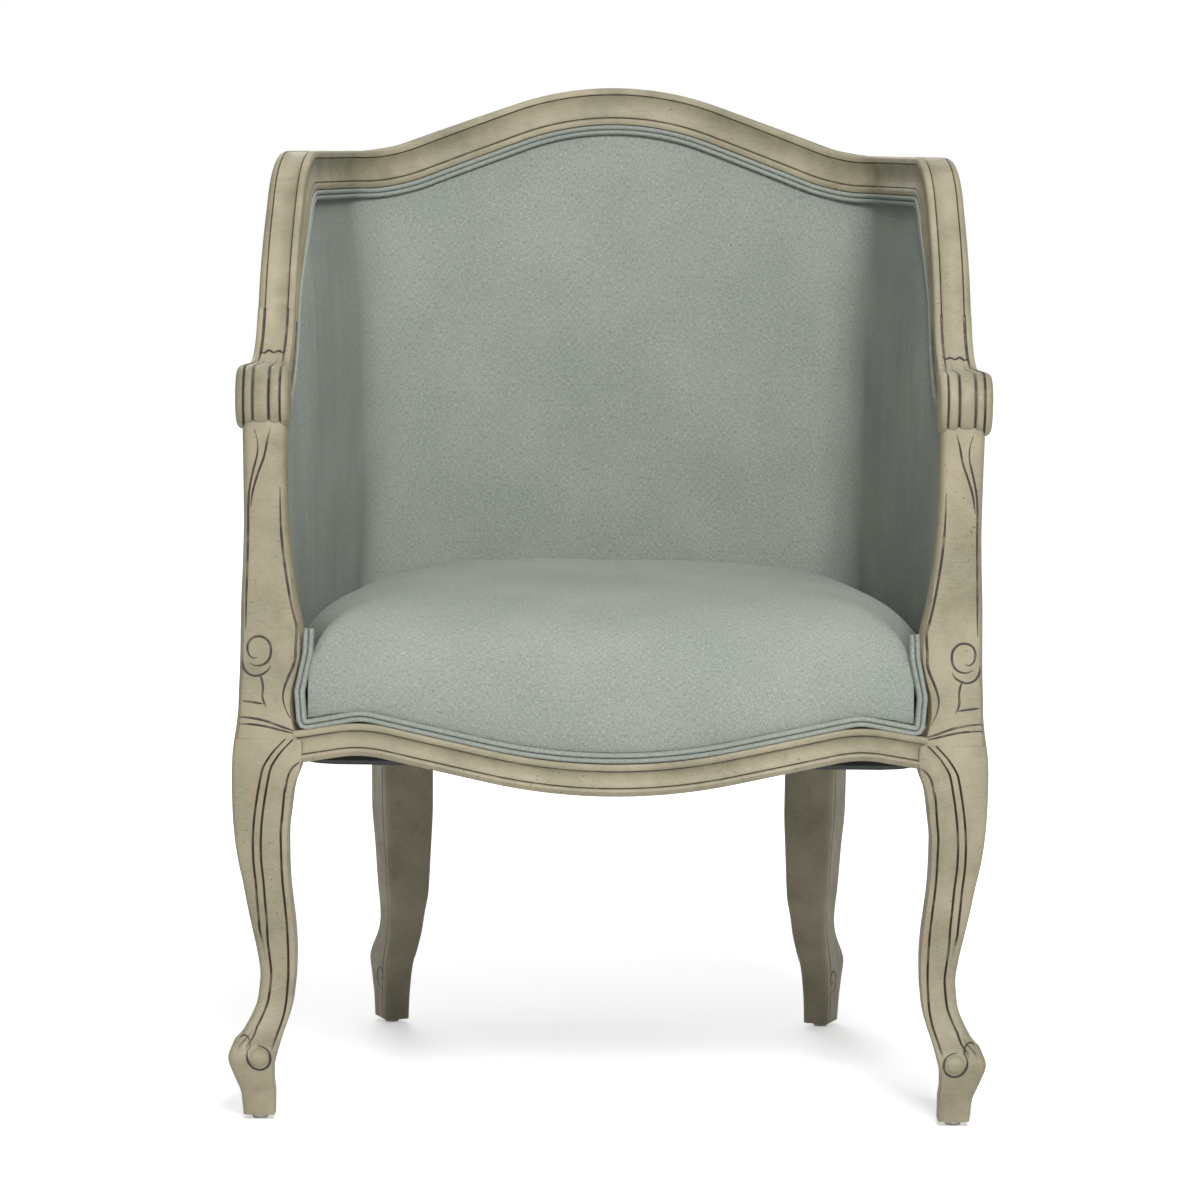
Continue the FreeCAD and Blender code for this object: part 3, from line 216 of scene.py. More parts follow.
CREST_APEX = CREST_HEIGHT + CREST_RADIUS * (1 / cos(CREST_SLOPE) - 1)
STRIP_LEAN = (WING_FOOT_RUN - WING_CORNER_RUN) / (WING_HEIGHT - ARM_HEIGHT)
RIM = {
    "apex": (0, CREST_APEX),
    "crest_joint": (CREST_JOINT_RUN, CREST_APEX - tan(CREST_SLOPE) * CREST_JOINT_RUN),
    "crest_foot": ((CREST_APEX - WING_HEIGHT) / tan(CREST_SLOPE), WING_HEIGHT),
    "wing_corner": (WING_CORNER_RUN, WING_HEIGHT),
    "wing_joint": (WING_FOOT_RUN - STRIP_LEAN * (WING_JOINT_HEIGHT - ARM_HEIGHT), WING_JOINT_HEIGHT),
    "wing_foot": (WING_FOOT_RUN, ARM_HEIGHT),
    "arm_end": (run_at_front(KNUCKLE_RADIUS), ARM_HEIGHT),
}


def rim_samples(step):
    """Samples of the rim's edge from arm to arm, as far as the welts reach."""
    joint = RIM["crest_joint"]
    corners = [(-joint[0], joint[1])] + [RIM[name] for name in ("apex", "crest_foot", "wing_corner", "wing_foot")]
    half = rounded_path(corners + [(run_at_front(WELT_END), ARM_HEIGHT)],
                        [CREST_RADIUS, CREST_FOOT_RADIUS, WING_RADIUS, WING_RADIUS], step)
    right = [sample for sample in half if sample[0] > step / 2]
    return [(-a, b, along, -up) for a, b, along, up in reversed(right)] + [(0, CREST_HEIGHT, 1, 0)] + right


def smooth_share(share):
    limited = min(1, max(0, share))
    return limited * limited * (3 - 2 * limited)


def table_at(table, place):
    """Values of a table at a place, by smooth steps between its rows, which rise."""
    index = 0
    while index < len(table) - 2 and table[index + 1][0] < place:
        index += 1
    below, above = table[index], table[index + 1]
    before, after = table[max(0, index - 1)], table[min(len(table) - 1, index + 2)]
    gap = above[0] - below[0]
    local = min(1, max(0, (place - below[0]) / gap))

    def slope(first, middle, second, column):
        if first is middle or middle is second:
            return (second[column] - first[column]) / (second[0] - first[0])
        rise = (middle[column] - first[column]) / (middle[0] - first[0])
        fall = (second[column] - middle[column]) / (second[0] - middle[0])
        return 0 if rise * fall <= 0 else 2 * rise * fall / (rise + fall)

    values = []
    for column in range(1, len(below)):
        start = slope(before, below, above, column) * gap
        end = slope(below, above, after, column) * gap
        square, cube = local ** 2, local ** 3
        values.append(below[column] * (2 * cube - 3 * square + 1) + start * (cube - 2 * square + local)
                      + above[column] * (3 * square - 2 * cube) + end * (cube - square))
    return values


def spaced(start, end, step):
    count = max(1, ceil(abs(end - start) / step))
    return [start + (end - start) * number / count for number in range(count + 1)]


# Pieces

def make_piece(name, nodes, rows, marks, slot="painted_wood", crease=50, grain=None, closed=True):
    """Piece in place of its nodes, made of rows of points that are joined in order.

    marks hold the glaze in each point and grain its place on the cloth; a piece that isn't closed is a sheet.
    """
    width = len(rows[0])
    faces = []
    for low in range(0, (len(rows) - 1) * width, width):
        for index in range(width if closed else width - 1):
            following = (index + 1) % width
            faces.append((low + index, low + following, low + width + following, low + width + index))
    if closed:
        faces.append(tuple(reversed(range(width))))
        faces.append(tuple(range((len(rows) - 1) * width, len(rows) * width)))
    mesh = bpy.data.meshes.new(name)
    mesh.from_pydata([metres(point) for row in rows for point in row], [], faces)
    mesh.validate()
    layer = mesh.attributes.new("glaze", "FLOAT", "POINT")
    if marks:
        layer.data.foreach_set("value", [float(value) for row in marks for value in row])
    if grain:
        flat = [Vector(place) for row in grain for place in row]
        uv = mesh.uv_layers.new(name="cloth")
        for loop in mesh.loops:
            uv.data[loop.index].uv = flat[loop.vertex_index] * MM
    mesh.shade_smooth()
    mesh.set_sharp_from_angle(angle=radians(crease))
    mesh.materials.append(FINISHES[slot])
    piece = bpy.data.objects.new(name, mesh)
    scene.collection.objects.link(piece)
    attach(piece, "root")
    if closed:
        shell = bmesh.new()
        shell.from_mesh(mesh)
        bmesh.ops.recalc_face_normals(shell, faces=shell.faces)
        shell.to_mesh(mesh)
        shell.free()
        mesh.update()
    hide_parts(*nodes.split())
    return piece


def both_sides(stem, node_stem, rows, marks, crease=40, slot="painted_wood"):
    """Piece and its mirror image, in place of a right and a left node."""
    mirrored = [[Vector((-point.x, point.y, point.z)) for point in row] for row in rows]
    for side, sided in (("_right", rows), ("_left", mirrored)):
        make_piece(stem + side, node_stem + side, sided, marks, slot, crease)


def arc(start, through, end, count):
    """Points after the start of an arc through three (a, b) points, up to its end."""
    (ax, ay), (bx, by), (cx, cy) = start, through, end
    d = 2 * (ax * (by - cy) + bx * (cy - ay) + cx * (ay - by))
    ux = ((ax * ax + ay * ay) * (by - cy) + (bx * bx + by * by) * (cy - ay) + (cx * cx + cy * cy) * (ay - by)) / d
    uy = ((ax * ax + ay * ay) * (cx - bx) + (bx * bx + by * by) * (ax - cx) + (cx * cx + cy * cy) * (bx - ax)) / d
    first = atan2(ay - uy, ax - ux)
    middle = (atan2(by - uy, bx - ux) - first) % tau
    last = (atan2(cy - uy, cx - ux) - first) % tau
    if middle > last:
        last -= tau
    radius = hypot(ax - ux, ay - uy)
    return [(ux + radius * cos(first + last * number / count),
             uy + radius * sin(first + last * number / count)) for number in range(1, count + 1)]


def bent(start, through, end, count):
    """An arc's points for a section, without glaze."""
    return [(u, v, 0) for u, v in arc(start, through, end, count)]


def place_section(place, section):
    origin, into, out = place
    return [origin + into * u + out * v for u, v, glaze in section]


def glaze_of(section):
    return [glaze for u, v, glaze in section]


def swept(surface, samples, section):
    """Rows and glaze of a section that is carried along a path on a surface."""
    return ([place_section(frame_at(surface, sample), section) for sample in samples],
            [glaze_of(section) for sample in samples])


# Materials

class Nodes:
    """Builds the nodes of a material or a world with short calls."""

    def __init__(self, owner):
        self.owner = owner
        owner.use_nodes = True
        self.tree = owner.node_tree

    def add(self, kind, **settings):
        return self.feed(self.tree.nodes.new("ShaderNode" + kind), **settings)

    def feed(self, item, **settings):
        """Links or sets a node's inputs, by name or by number after an i; names in small letters are properties."""
        for key, value in settings.items():
            numbered = key[0] == "i" and key[1:].isdigit()
            if key[0].islower() and not numbered:
                setattr(item, key, value)
                continue
            socket = item.inputs[int(key[1:]) if numbered else key.replace("_", " ")]
            if isinstance(value, bpy.types.NodeSocket):
                self.tree.links.new(value, socket)
            else:
                socket.default_value = value
        return item

    def layered(self, base, *layers):
        """Display colour with others mixed over it by their shares, in order."""
        base = colour(*base)
        for share, tone in layers:
            base = self.add("Mix", data_type="RGBA", i0=share, i6=base, i7=colour(*tone)).outputs[2]
        return base

    def math(self, kind, first, second):
        return self.add("Math", operation=kind, i0=first, i1=second).outputs[0]

    def times(self, first, second):
        return self.math("MULTIPLY", first, second)

    def ramp(self, share, low, high, low_value=0, high_value=1):
        return self.add("MapRange", i0=share, i1=low, i2=high, i3=low_value, i4=high_value).outputs[0]

    def noise(self, place, scale, detail=3, rough=0.5):
        return self.add("TexNoise", Vector=place, Scale=scale, Detail=detail, Roughness=rough).outputs[0]

    def wave(self, way, place, scale, distortion=0):
        return self.add("TexWave", bands_direction=way, Vector=place, Scale=scale, Distortion=distortion).outputs[1]

    def stretched(self, place, scale):
        return self.add("Mapping", Vector=place, Scale=scale).outputs[0]

    def place(self, kind="Object"):
        return self.add("TexCoord").outputs[kind]

    def glaze(self):
        return self.add("Attribute", attribute_name="glaze").outputs["Fac"]

    def direct(self):
        """1 on camera, glossy and transmission rays, and 0 on others."""
        rays = self.add("LightPath").outputs
        seen = self.math("MAXIMUM", rays["Is Camera Ray"], rays["Is Glossy Ray"])
        return self.math("MAXIMUM", seen, rays["Is Transmission Ray"])

    def finish(self, base, rough, height, strength, distance, **others):
        """The material, with its colour, roughness and bump."""
        bump = self.add("Bump", Height=height, Strength=strength, Distance=distance).outputs[0]
        self.feed(self.tree.nodes["Principled BSDF"], Base_Color=base, Roughness=rough, Normal=bump, **others)
        return self.owner


def new_material(name):
    return Nodes(bpy.data.materials.new(name))


def colour(red, green, blue):
    """Linear colour of a display colour written from 0 to 255."""
    return tuple(((value / 255 + 0.055) / 1.055) ** 2.4 for value in (red, green, blue)) + (1,)


def painted_wood(name):
    """Paint that is cloudy and brushed, rubbed at its edges, flecked, glazed dark in its grooves, and darkened by
    ambient occlusion in its hollows and where other parts come close, which is painted shade.
    """
    made = new_material(name)
    place = made.place()
    brush = made.noise(made.stretched(place, (30, 30, 160)), 6, 4)
    edge = made.ramp(made.add("NewGeometry").outputs["Pointiness"], 0.51, 0.60)
    rubbed = made.ramp(made.noise(place, 38, 6, 0.65), 0.56, 0.74)
    flecks = made.ramp(made.noise(place, 420, 2, 0.4), 0.67, 0.73)
    patch = made.ramp(made.noise(place, 22, 2), 0.45, 0.62)
    # ambient occlusion darkens the paint in hollows and next to other parts and cloth: painted shade, partly also
    # glaze gathered in the hollows
    shade = made.add("AmbientOcclusion", samples=8, only_local=False, Distance=0.012)
    occlusion_shade = made.ramp(shade.outputs["AO"], 0.25, 0.75, 1, 0)
    uneven = made.ramp(made.noise(place, 60, 4), 0.3, 0.5, 0.55, 1)
    base = made.layered(
        (151, 143, 119),
        (made.ramp(made.noise(place, 14, 4), 0.35, 0.65), (122, 118, 96)),
        (made.ramp(brush, 0.3, 0.7, 0, 0.35), (168, 158, 133)),
        (made.ramp(made.noise(place, 27, 6, 0.6), 0.5, 0.72, 0, 0.5), (104, 97, 74)),
        (made.times(made.math("ADD", edge, 0.12), rubbed), (166, 132, 102)),
        (made.times(flecks, made.times(patch, 0.75)), (62, 48, 33)),
        (made.times(occlusion_shade, made.times(uneven, 0.75)), (70, 58, 40)),
        (made.times(made.glaze(), uneven), (36, 27, 17)))
    rough = made.ramp(made.noise(place, 90, 4), 0.3, 0.7, 0.5, 0.68)
    fine = made.noise(made.stretched(place, (60, 60, 260)), 9, 5, 0.6)
    return made.finish(base, rough, fine, 0.22, 0.0006)


def bare_wood(name, first, second):
    made = new_material(name)
    place = made.place()
    grain = made.noise(made.stretched(place, (40, 8, 40)), 8, 6, 0.6)
    pores = made.ramp(made.noise(made.stretched(place, (400, 60, 400)), 3, 2), 0.62, 0.7)
    base = made.layered(first, (made.ramp(grain, 0.3, 0.7), second), (made.times(pores, 0.4), (110, 78, 48)))
    return made.finish(base, 0.6, grain, 0.2, 0.0005)


def linen(name, stitches_and_crease_shade=False):
    """Slubbed plain weave; the cloth place runs along the weft and the warp in metres."""
    made = new_material(name)
    place = made.place("UV")
    weft = made.noise(made.stretched(place, (260, 2100, 2100)), 1, 3, 0.6)
    warp = made.noise(made.stretched(place, (2100, 260, 2100)), 1, 3, 0.6)
    slub = made.noise(made.stretched(place, (120, 1100, 1100)), 1, 2)
    layers = [(made.ramp(made.noise(place, 9), 0.35, 0.65), (150, 156, 148)),
              (made.ramp(weft, 0.5, 0.66, 0, 0.75), (184, 187, 176)),
              (made.ramp(warp, 0.5, 0.66, 0, 0.75), (100, 108, 100)),
              (made.ramp(slub, 0.64, 0.74, 0, 0.55), (104, 104, 92))]
    if stitches_and_crease_shade:
        # the groove between a welt's cords is darkened all along and more in stitch-length dashes: painted shade in
        # the crease, with its stitches
        dash = made.ramp(made.wave("X", place, 52), 0.3, 0.6, 0.35, 0.85)
        layers.append((made.times(made.glaze(), dash), (78, 84, 78)))
    threads = made.times(made.wave("X", place, 520, 0.6), made.wave("Y", place, 520, 0.6))
    weave = made.math("ADD", threads, made.times(weft, 1.2))
    return made.finish(made.layered((139, 147, 139), *layers), 0.88, weave, 0.35, 0.0005, Specular_IOR_Level=0.25)


def plain_weave(name, first, second, threads):
    made = new_material(name)
    place = made.place()
    weave = made.times(made.wave("X", place, threads), made.wave("Y", place, threads))
    worn = made.ramp(made.noise(place, 120, 4), 0.4, 0.7, 0, 0.3)
    return made.finish(made.layered(first, (weave, second), (worn, first)), 0.92, weave, 0.5, 0.0006)


def simple_finish(name, base, rough, metallic=0):
    made = new_material(name)
    place = made.place()
    base = made.layered(base, (made.ramp(made.noise(place, 150), 0.3, 0.7, 0, 0.25), (140, 136, 128)))
    worn = made.ramp(made.noise(place, 300), 0.3, 0.7, rough - 0.08, rough + 0.1)
    return made.finish(base, worn, made.noise(place, 700, 2), 0.1, 0.0003, Metallic=metallic)


# the record's slots and their materials
FINISHES = {
    "painted_wood": painted_wood("painted_wood"),
    "bare_beech": bare_wood("bare_beech", (205, 170, 128), (184, 146, 104)),
    "dowel_beech": bare_wood("dowel_beech", (214, 182, 140), (196, 160, 118)),
    "cover_cloth": linen("linen"),
    "welt_cloth": linen("welt_linen", stitches_and_crease_shade=True),
    "webbing": plain_weave("jute_webbing", (168, 142, 104), (128, 102, 70), 240),
    "hessian": plain_weave("hessian", (176, 152, 114), (116, 94, 64), 160),
    "dust_cloth": plain_weave("black_cambric", (26, 26, 27), (14, 14, 15), 700),
    "batting": plain_weave("batting", (226, 224, 216), (206, 204, 196), 300),
    "screw_steel": simple_finish("screw_steel", (186, 186, 184), 0.35, 1),
    "glide_plastic": simple_finish("glide_plastic", (226, 224, 216), 0.42),
}
FINISHES["foam"] = FINISHES["batting"]
for node_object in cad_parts.values():
    for slot in node_object.material_slots:
        slot.material = FINISHES[slot.material.name.split(".")[0]]


# Rim: crest, wings and arms

def rim_section():
    """Into, out and glaze of the rail's moulding: bead, cove and bead on the inner face and the edge."""
    deep, notch = 1.5, 0.7
    depth, width = RAIL_DEPTH, RAIL_WIDTH
    return [
        (depth + TONGUE, width - REBATE, 0), (depth + TONGUE, REBATE, 0), (depth, REBATE, 0), (depth, 1.2, 0.3),
        *bent((depth, 1.2), (depth - 0.35, 0.35), (depth - 1.2, 0), 3), (depth - BEAD / 2, -0.25, 0),
        (depth - BEAD + notch + 0.6, 0.15, 0), (depth - BEAD, deep, 1), (depth - BEAD - notch, 0.7, 0.25),
        *bent((depth - BEAD - notch, 0.7), (depth / 2, 3.2), (BEAD + notch, 0.7), 10),
        (BEAD, deep, 1), (BEAD - notch - 0.2, 0.15, 0), *bent((3.2, 0), (0.94, 0.94), (0, 3.2), 5),
        (0.15, BEAD - notch, 0), (deep, BEAD, 1), (0.6, BEAD + notch, 0.25),
        *bent((0.6, BEAD + notch), (2.6, width / 2), (0.6, width - BEAD - notch), 10),
        (deep, width - BEAD, 1), (0.15, width - BEAD + notch, 0),
        *bent((0.3, width - 5.4), (1.8, width - 1.8), (6, width), 6),
        (depth - 0.6, width, 0), (depth, width - 0.6, 0.3), (depth, width - REBATE, 0)]


joint = RIM["crest_joint"]
crest_path = rounded_path([(-joint[0], joint[1]), RIM["apex"], joint], [CREST_RADIUS], STEP)
make_piece("crest_moulding", "crest_rail", *swept(wall, crest_path, rim_section()))
wing_path = rounded_path([joint, RIM["crest_foot"], RIM["wing_corner"], RIM["wing_joint"]],
                         [CREST_FOOT_RADIUS, WING_RADIUS], STEP)
both_sides("wing_moulding", "wing_rail", *swept(wall, wing_path, rim_section()), 50)


# Arms and their scrolled ends

FLUTE_LINES = (0.03, 0.32, 0.73, 0.97)
EDGE_COUNT = 50
SIDE_COUNT = 14
# how far the knuckle rolls round under the arm
KNUCKLE_TURN = radians(245)


def strip_depth(share):
    """Depth and glaze of the wing strip's edge at a share of its width."""
    place = share * RAIL_WIDTH
    if min(abs(place - BEAD), abs(place - (RAIL_WIDTH - BEAD))) < 0.9:
        return 1.5, 1
    if BEAD < place < RAIL_WIDTH - BEAD:
        return 0.6 + 2 * sin(pi * ((place - BEAD) / (RAIL_WIDTH - 2 * BEAD))), 0
    return 0, 0


def flute_depth(share):
    """Depth and glaze of the arm's fluted top at a share of its width."""
    nearest = min(abs(share - line) for line in FLUTE_LINES)
    valley = max(0, 1 - nearest / 0.05)
    swell = 0
    for first, last in zip(FLUTE_LINES, FLUTE_LINES[1:]):
        if first < share < last:
            swell = sin(pi * (share - first) / (last - first))
    return 1.0 - 0.8 * swell + 1.1 * valley, min(1, valley * 1.5)


def arm_section(widening, depth, inner, outer):
    """Section of the arm: the widening share turns the strip's moulding into flutes."""
    section = []
    width = outer - inner
    corner = 3 + (KNUCKLE_ROUND - 3) * widening
    near = corner * CUT
    for number in range(SIDE_COUNT):
        u = depth + (corner - depth) * number / (SIDE_COUNT - 1)
        cove, glaze = 0, 0
        local = (u - BEAD) / (RAIL_DEPTH - 2 * BEAD)
        if 0 < local < 1:
            cove = (0.6 + 2.4 * sin(pi * local)) * (1 - widening)
            glaze = (1 - widening) if min(local, 1 - local) < 0.08 else 0
        section.append((u, inner + cove, glaze))
    section += bent((corner, inner), (near, inner + near), (0, inner + corner), 4)
    for number in range(1, EDGE_COUNT):
        share = number / EDGE_COUNT
        v = inner + corner + (width - 2 * corner) * share
        both = zip(strip_depth((v - inner) / width), flute_depth(share))
        dip, glaze = (strip + (flute - strip) * widening for strip, flute in both)
        section.append((dip, v, glaze))
    section.append((0, outer - corner, 0))
    section += bent((0, outer - corner), (near, outer - near), (corner, outer), 4)
    return section + [(corner + (depth - corner) * number / (SIDE_COUNT - 1), outer, 0)
                      for number in range(1, SIDE_COUNT)]


def arm_rows():
    """Rows and glaze of the arm, along the tub and then round its knuckle."""
    samples = rounded_path([RIM["wing_joint"], RIM["wing_foot"], RIM["arm_end"]], [WING_RADIUS], 3)
    start = wall(RIM["arm_end"][0], ARM_HEIGHT)
    low = KNUCKLE_RADIUS - 0.5
    rows, marks = [], []

    def add(place, section):
        rows.append(place_section(place, section))
        marks.append(glaze_of(section))

    for number, sample in enumerate(samples):
        share = number / (len(samples) - 1)
        spread = smooth_share((share - 0.33) / 0.67)
        inner = (KNUCKLE_INNER - start.x) * spread
        outer = RAIL_WIDTH + (KNUCKLE_OUTER - start.x - RAIL_WIDTH) * spread
        depth = RAIL_DEPTH + (low - RAIL_DEPTH) * smooth_share((share - 0.85) / 0.15)
        add(frame_at(wall, sample), arm_section(smooth_share((share - 0.3) / 0.5), depth, inner, outer))
    centre = Vector((0, KNUCKLE_RADIUS, ARM_HEIGHT - KNUCKLE_RADIUS))
    for angle in spaced(0, KNUCKLE_TURN, radians(5))[1:]:
        outward = Vector((0, -sin(angle), cos(angle)))
        add((centre + outward * KNUCKLE_RADIUS, -outward, Vector((1, 0, 0))),
            arm_section(1, low, KNUCKLE_INNER, KNUCKLE_OUTER))
    return rows, marks


both_sides("arm", "arm_rail", *arm_rows(), 50)


# Front legs and stumps: height, outer and inner distances from the chair's middle

LEG_TABLE = (
    (4.5, 315.4, 288), (24, 317.5, 288), (35, 321.4, 289.2), (45, 325.2, 289.2), (56, 328.2, 287),
    (67, 324.7, 284), (72, 319.4, 282.5), (82, 313.3, 279), (93, 308, 275.6), (103, 304.5, 273.5),
    (114, 303, 272.3), (125, 302.2, 271.3), (145, 304.7, 270.8), (166, 308.9, 271.8), (187, 313.1, 274),
    (208, 316.8, 276.2), (229, 321, 277.2), (250, 323.9, 277.4), (271, 325.5, 275.3), (292, 326.1, 272.5),
    (308, 326.2, 267), (321, 325.7, 265), (334, 324.3, 265.5),
)
# height, distance of the outer line from the arris, distance of the inner line from the inner edge, depth
LINE_TABLE = (
    (62, 7, 5.5, 0), (70, 5.5, 5.2, 1.2), (86, 2.5, 5, 1.3), (100, 2.5, 5.6, 1.4), (125, 2.8, 6.5, 1.4),
    (150, 3.8, 7, 1.4), (175, 7.7, 6.5, 1.4), (200, 10.5, 6, 1.4), (227, 13.4, 6, 1.4), (254, 17, 6.3, 1.4),
    (281, 21.4, 7, 1.4), (292, 23.4, 7.5, 1.4), (309, 27, 9, 1.4), (316, 30.5, 8.5, 1.4), (323, 35, 5, 1.3),
    (334, 44, 2.5, 1.1),
)
# height, outer and inner distances, front and back
STUMP_TABLE = (
    (334, 324.3, 266, 3.9, 52), (347, 322.5, 271, 5, 51), (361, 321.3, 273.5, 6.4, 50.5),
    (374, 321, 272.8, 7.7, 50), (391, 320.4, 268.3, 9.4, 49.5), (409, 320.1, 265, 11.2, 49.5),
    (426, 320, 266, 13, 49.5), (452, 319.7, 271.5, 15, 49.5), (487, 318.4, 276.5, 15.4, 49.5),
    (521, 317.7, 279.5, 14.3, 49.5), (564, 318.2, 281, 12.1, 49.5), (614, 319, 281, 9.9, 49.5),
    (629.5, 318.4, 281.6, 24, 49.5),
)
# incised lines: gap between the outer pair, half a line's width, and the first line's least distance from the arris
LINE_GAP = 6.8
LINE_HALF = 1.2
LINE_FIRST = 6.5
STUMP_ROUND = 5.5
STUMP_BULGE = 1.8


def groove(place, depth):
    """Points across an incised line: distance, depth and glaze."""
    return [(place - LINE_HALF, 0, 0), (place - LINE_HALF / 2, depth * 0.7, 1), (place, depth, 1),
            (place + LINE_HALF / 2, depth * 0.7, 1), (place + LINE_HALF, 0, 0)]


def leg_face(width, height):
    """Points on a leg's face, counted from its outer arris: distance, depth and glaze."""
    first, last, depth = table_at(LINE_TABLE, max(height, LINE_TABLE[0][0]))
    shown = min(1, depth / 1.4)
    held = max(first, LINE_FIRST)
    second = max(first + LINE_GAP, held + 3)
    strength = min(1, max(0, (first - 3) / 3))
    points = [(place, dip * strength, glaze * strength) for place, dip, glaze in groove(held, depth)]
    points += groove(second, depth)
    inner = max(width - last, second + 3 * LINE_HALF)
    middle = (second + inner) / 2
    spare = inner - second - 2 * LINE_HALF
    points += [(middle - spare / 4, 0.5 * shown, 0), (middle, 0.9 * shown, 0), (middle + spare / 4, 0.5 * shown, 0)]
    fade = 1 - smooth_share((height - 288) / 10)
    points += [(place, dip * fade, glaze * fade) for place, dip, glaze in groove(inner, depth)]
    return [(place, dip, glaze * shown) for place, dip, glaze in points]


def leg_ring(height):
    """Points (x, y, glaze) round a front leg: its front, its outer side and its rounded back."""
    outer, inner = table_at(LEG_TABLE, height)
    width, front, back = outer - inner, KNEE_REACH - outer, KNEE_REACH - inner
    round_over = 4.5
    near = round_over * CUT
    half = [(near * 1.9, near * 0.55, 0), (round_over, 0, 0)]
    half += [(min(place, width - 2), dip, glaze) for place, dip, glaze in leg_face(width, height)]
    half.append((width - 1, 1, 0))
    ring = [(outer - place, front + dip, glaze) for place, dip, glaze in reversed(half + [(width - 0.3, 3, 0)])]
    ring.append((outer - near, front + near, 0))
    ring += [(outer - dip, front + place, glaze) for place, dip, glaze in half + [(width, 3, 0)]]
    return ring + [(inner + width * 0.6, back, 0), (inner + width * 0.2, back, 0), (inner + near, back - near, 0),
                   (inner, back - width * 0.2, 0), (inner, back - width * 0.6, 0)]


def leg_front(x, height):
    """Depth of a front leg's front at a height."""
    return KNEE_REACH - table_at(LEG_TABLE, height)[0]


def stump_ring(height):
    """Points (x, y, glaze) round a stump: its bulged front and its plain sides and back."""
    outer, inner, front, back = table_at(STUMP_TABLE, height)
    width = outer - inner
    ring = []
    for number in range(17):
        share = number / 16
        edge = max(0, 1 - min(share, 1 - share) * width / STUMP_ROUND)
        face = front + STUMP_BULGE - STUMP_BULGE * sin(pi * share)
        ring.append((inner + width * share, face + STUMP_ROUND * (1 - sqrt(max(0, 1 - edge ** 2))), 0))
    places = [front + STUMP_ROUND + STUMP_BULGE + (back - front - 8) * share for share in (0.3, 0.5, 0.8)]
    ring += [(outer, y, 0) for y in places] + [(outer - 3, back, 0), (inner + 3, back, 0)]
    return ring + [(inner, y, 0) for y in reversed(places)]


def stump_front(x, height):
    """Depth of a stump's front at a place."""
    outer, inner, front, back = table_at(STUMP_TABLE, height)
    share = min(1, max(0, (x - inner) / (outer - inner)))
    return front + STUMP_BULGE * (1 - sin(pi * share))


def rings(ring_of, table, top, step):
    """Rows and glaze of rings from a table's lowest height up to a top."""
    pairs = [(height, ring_of(height)) for height in spaced(table[0][0], top, step)]
    return ([[Vector((x, y, height)) for x, y, glaze in ring] for height, ring in pairs],
            [glaze_of(ring) for height, ring in pairs])


both_sides("front_leg", "front_post", *rings(leg_ring, LEG_TABLE, LEG_TABLE[-1][0], 3))
both_sides("front_stump", "front_post", *rings(stump_ring, STUMP_TABLE, STUMP_TABLE[-1][0], 4))


# Carved lines laid along a surface as thin strips of glaze

def carved_line(points, width, depth=Vector((0, 1, 0))):
    """Rows and glaze of a narrow rounded strip through points, sunk to half its thickness."""
    rows = []
    for number, point in enumerate(points):
        before = points[max(0, number - 1)]
        after = points[min(len(points) - 1, number + 1)]
        side = (after - before).normalized().cross(depth).normalized()
        taper = min(1, 0.25 + 4 * min(number, len(points) - 1 - number) / len(points))
        half = width / 2 * taper
        rows.append([point + side * (half * cos(turned)) + depth * (half * 0.45 * sin(turned))
                     for turned in (number * tau / 6 for number in range(6))])
    return rows, [[1] * 6] * len(rows)


def smooth_line(corners, step=2.0):
    """Even points along a curve through corners (Catmull-Rom)."""
    points = [Vector(corner) for corner in corners]
    ends = [points[0] * 2 - points[1]] + points + [points[-1] * 2 - points[-2]]
    line = []
    for index in range(1, len(ends) - 2):
        before, start, end, after = ends[index - 1:index + 3]
        count = max(2, ceil((end - start).length / step))
        for number in range(count):
            t = number / count
            line.append(0.5 * (2 * start + (end - before) * t + (2 * before - 5 * start + 4 * end - after) * t * t
                               + (3 * start - before - 3 * end + after) * t ** 3))
    line.append(points[-1])
    return line


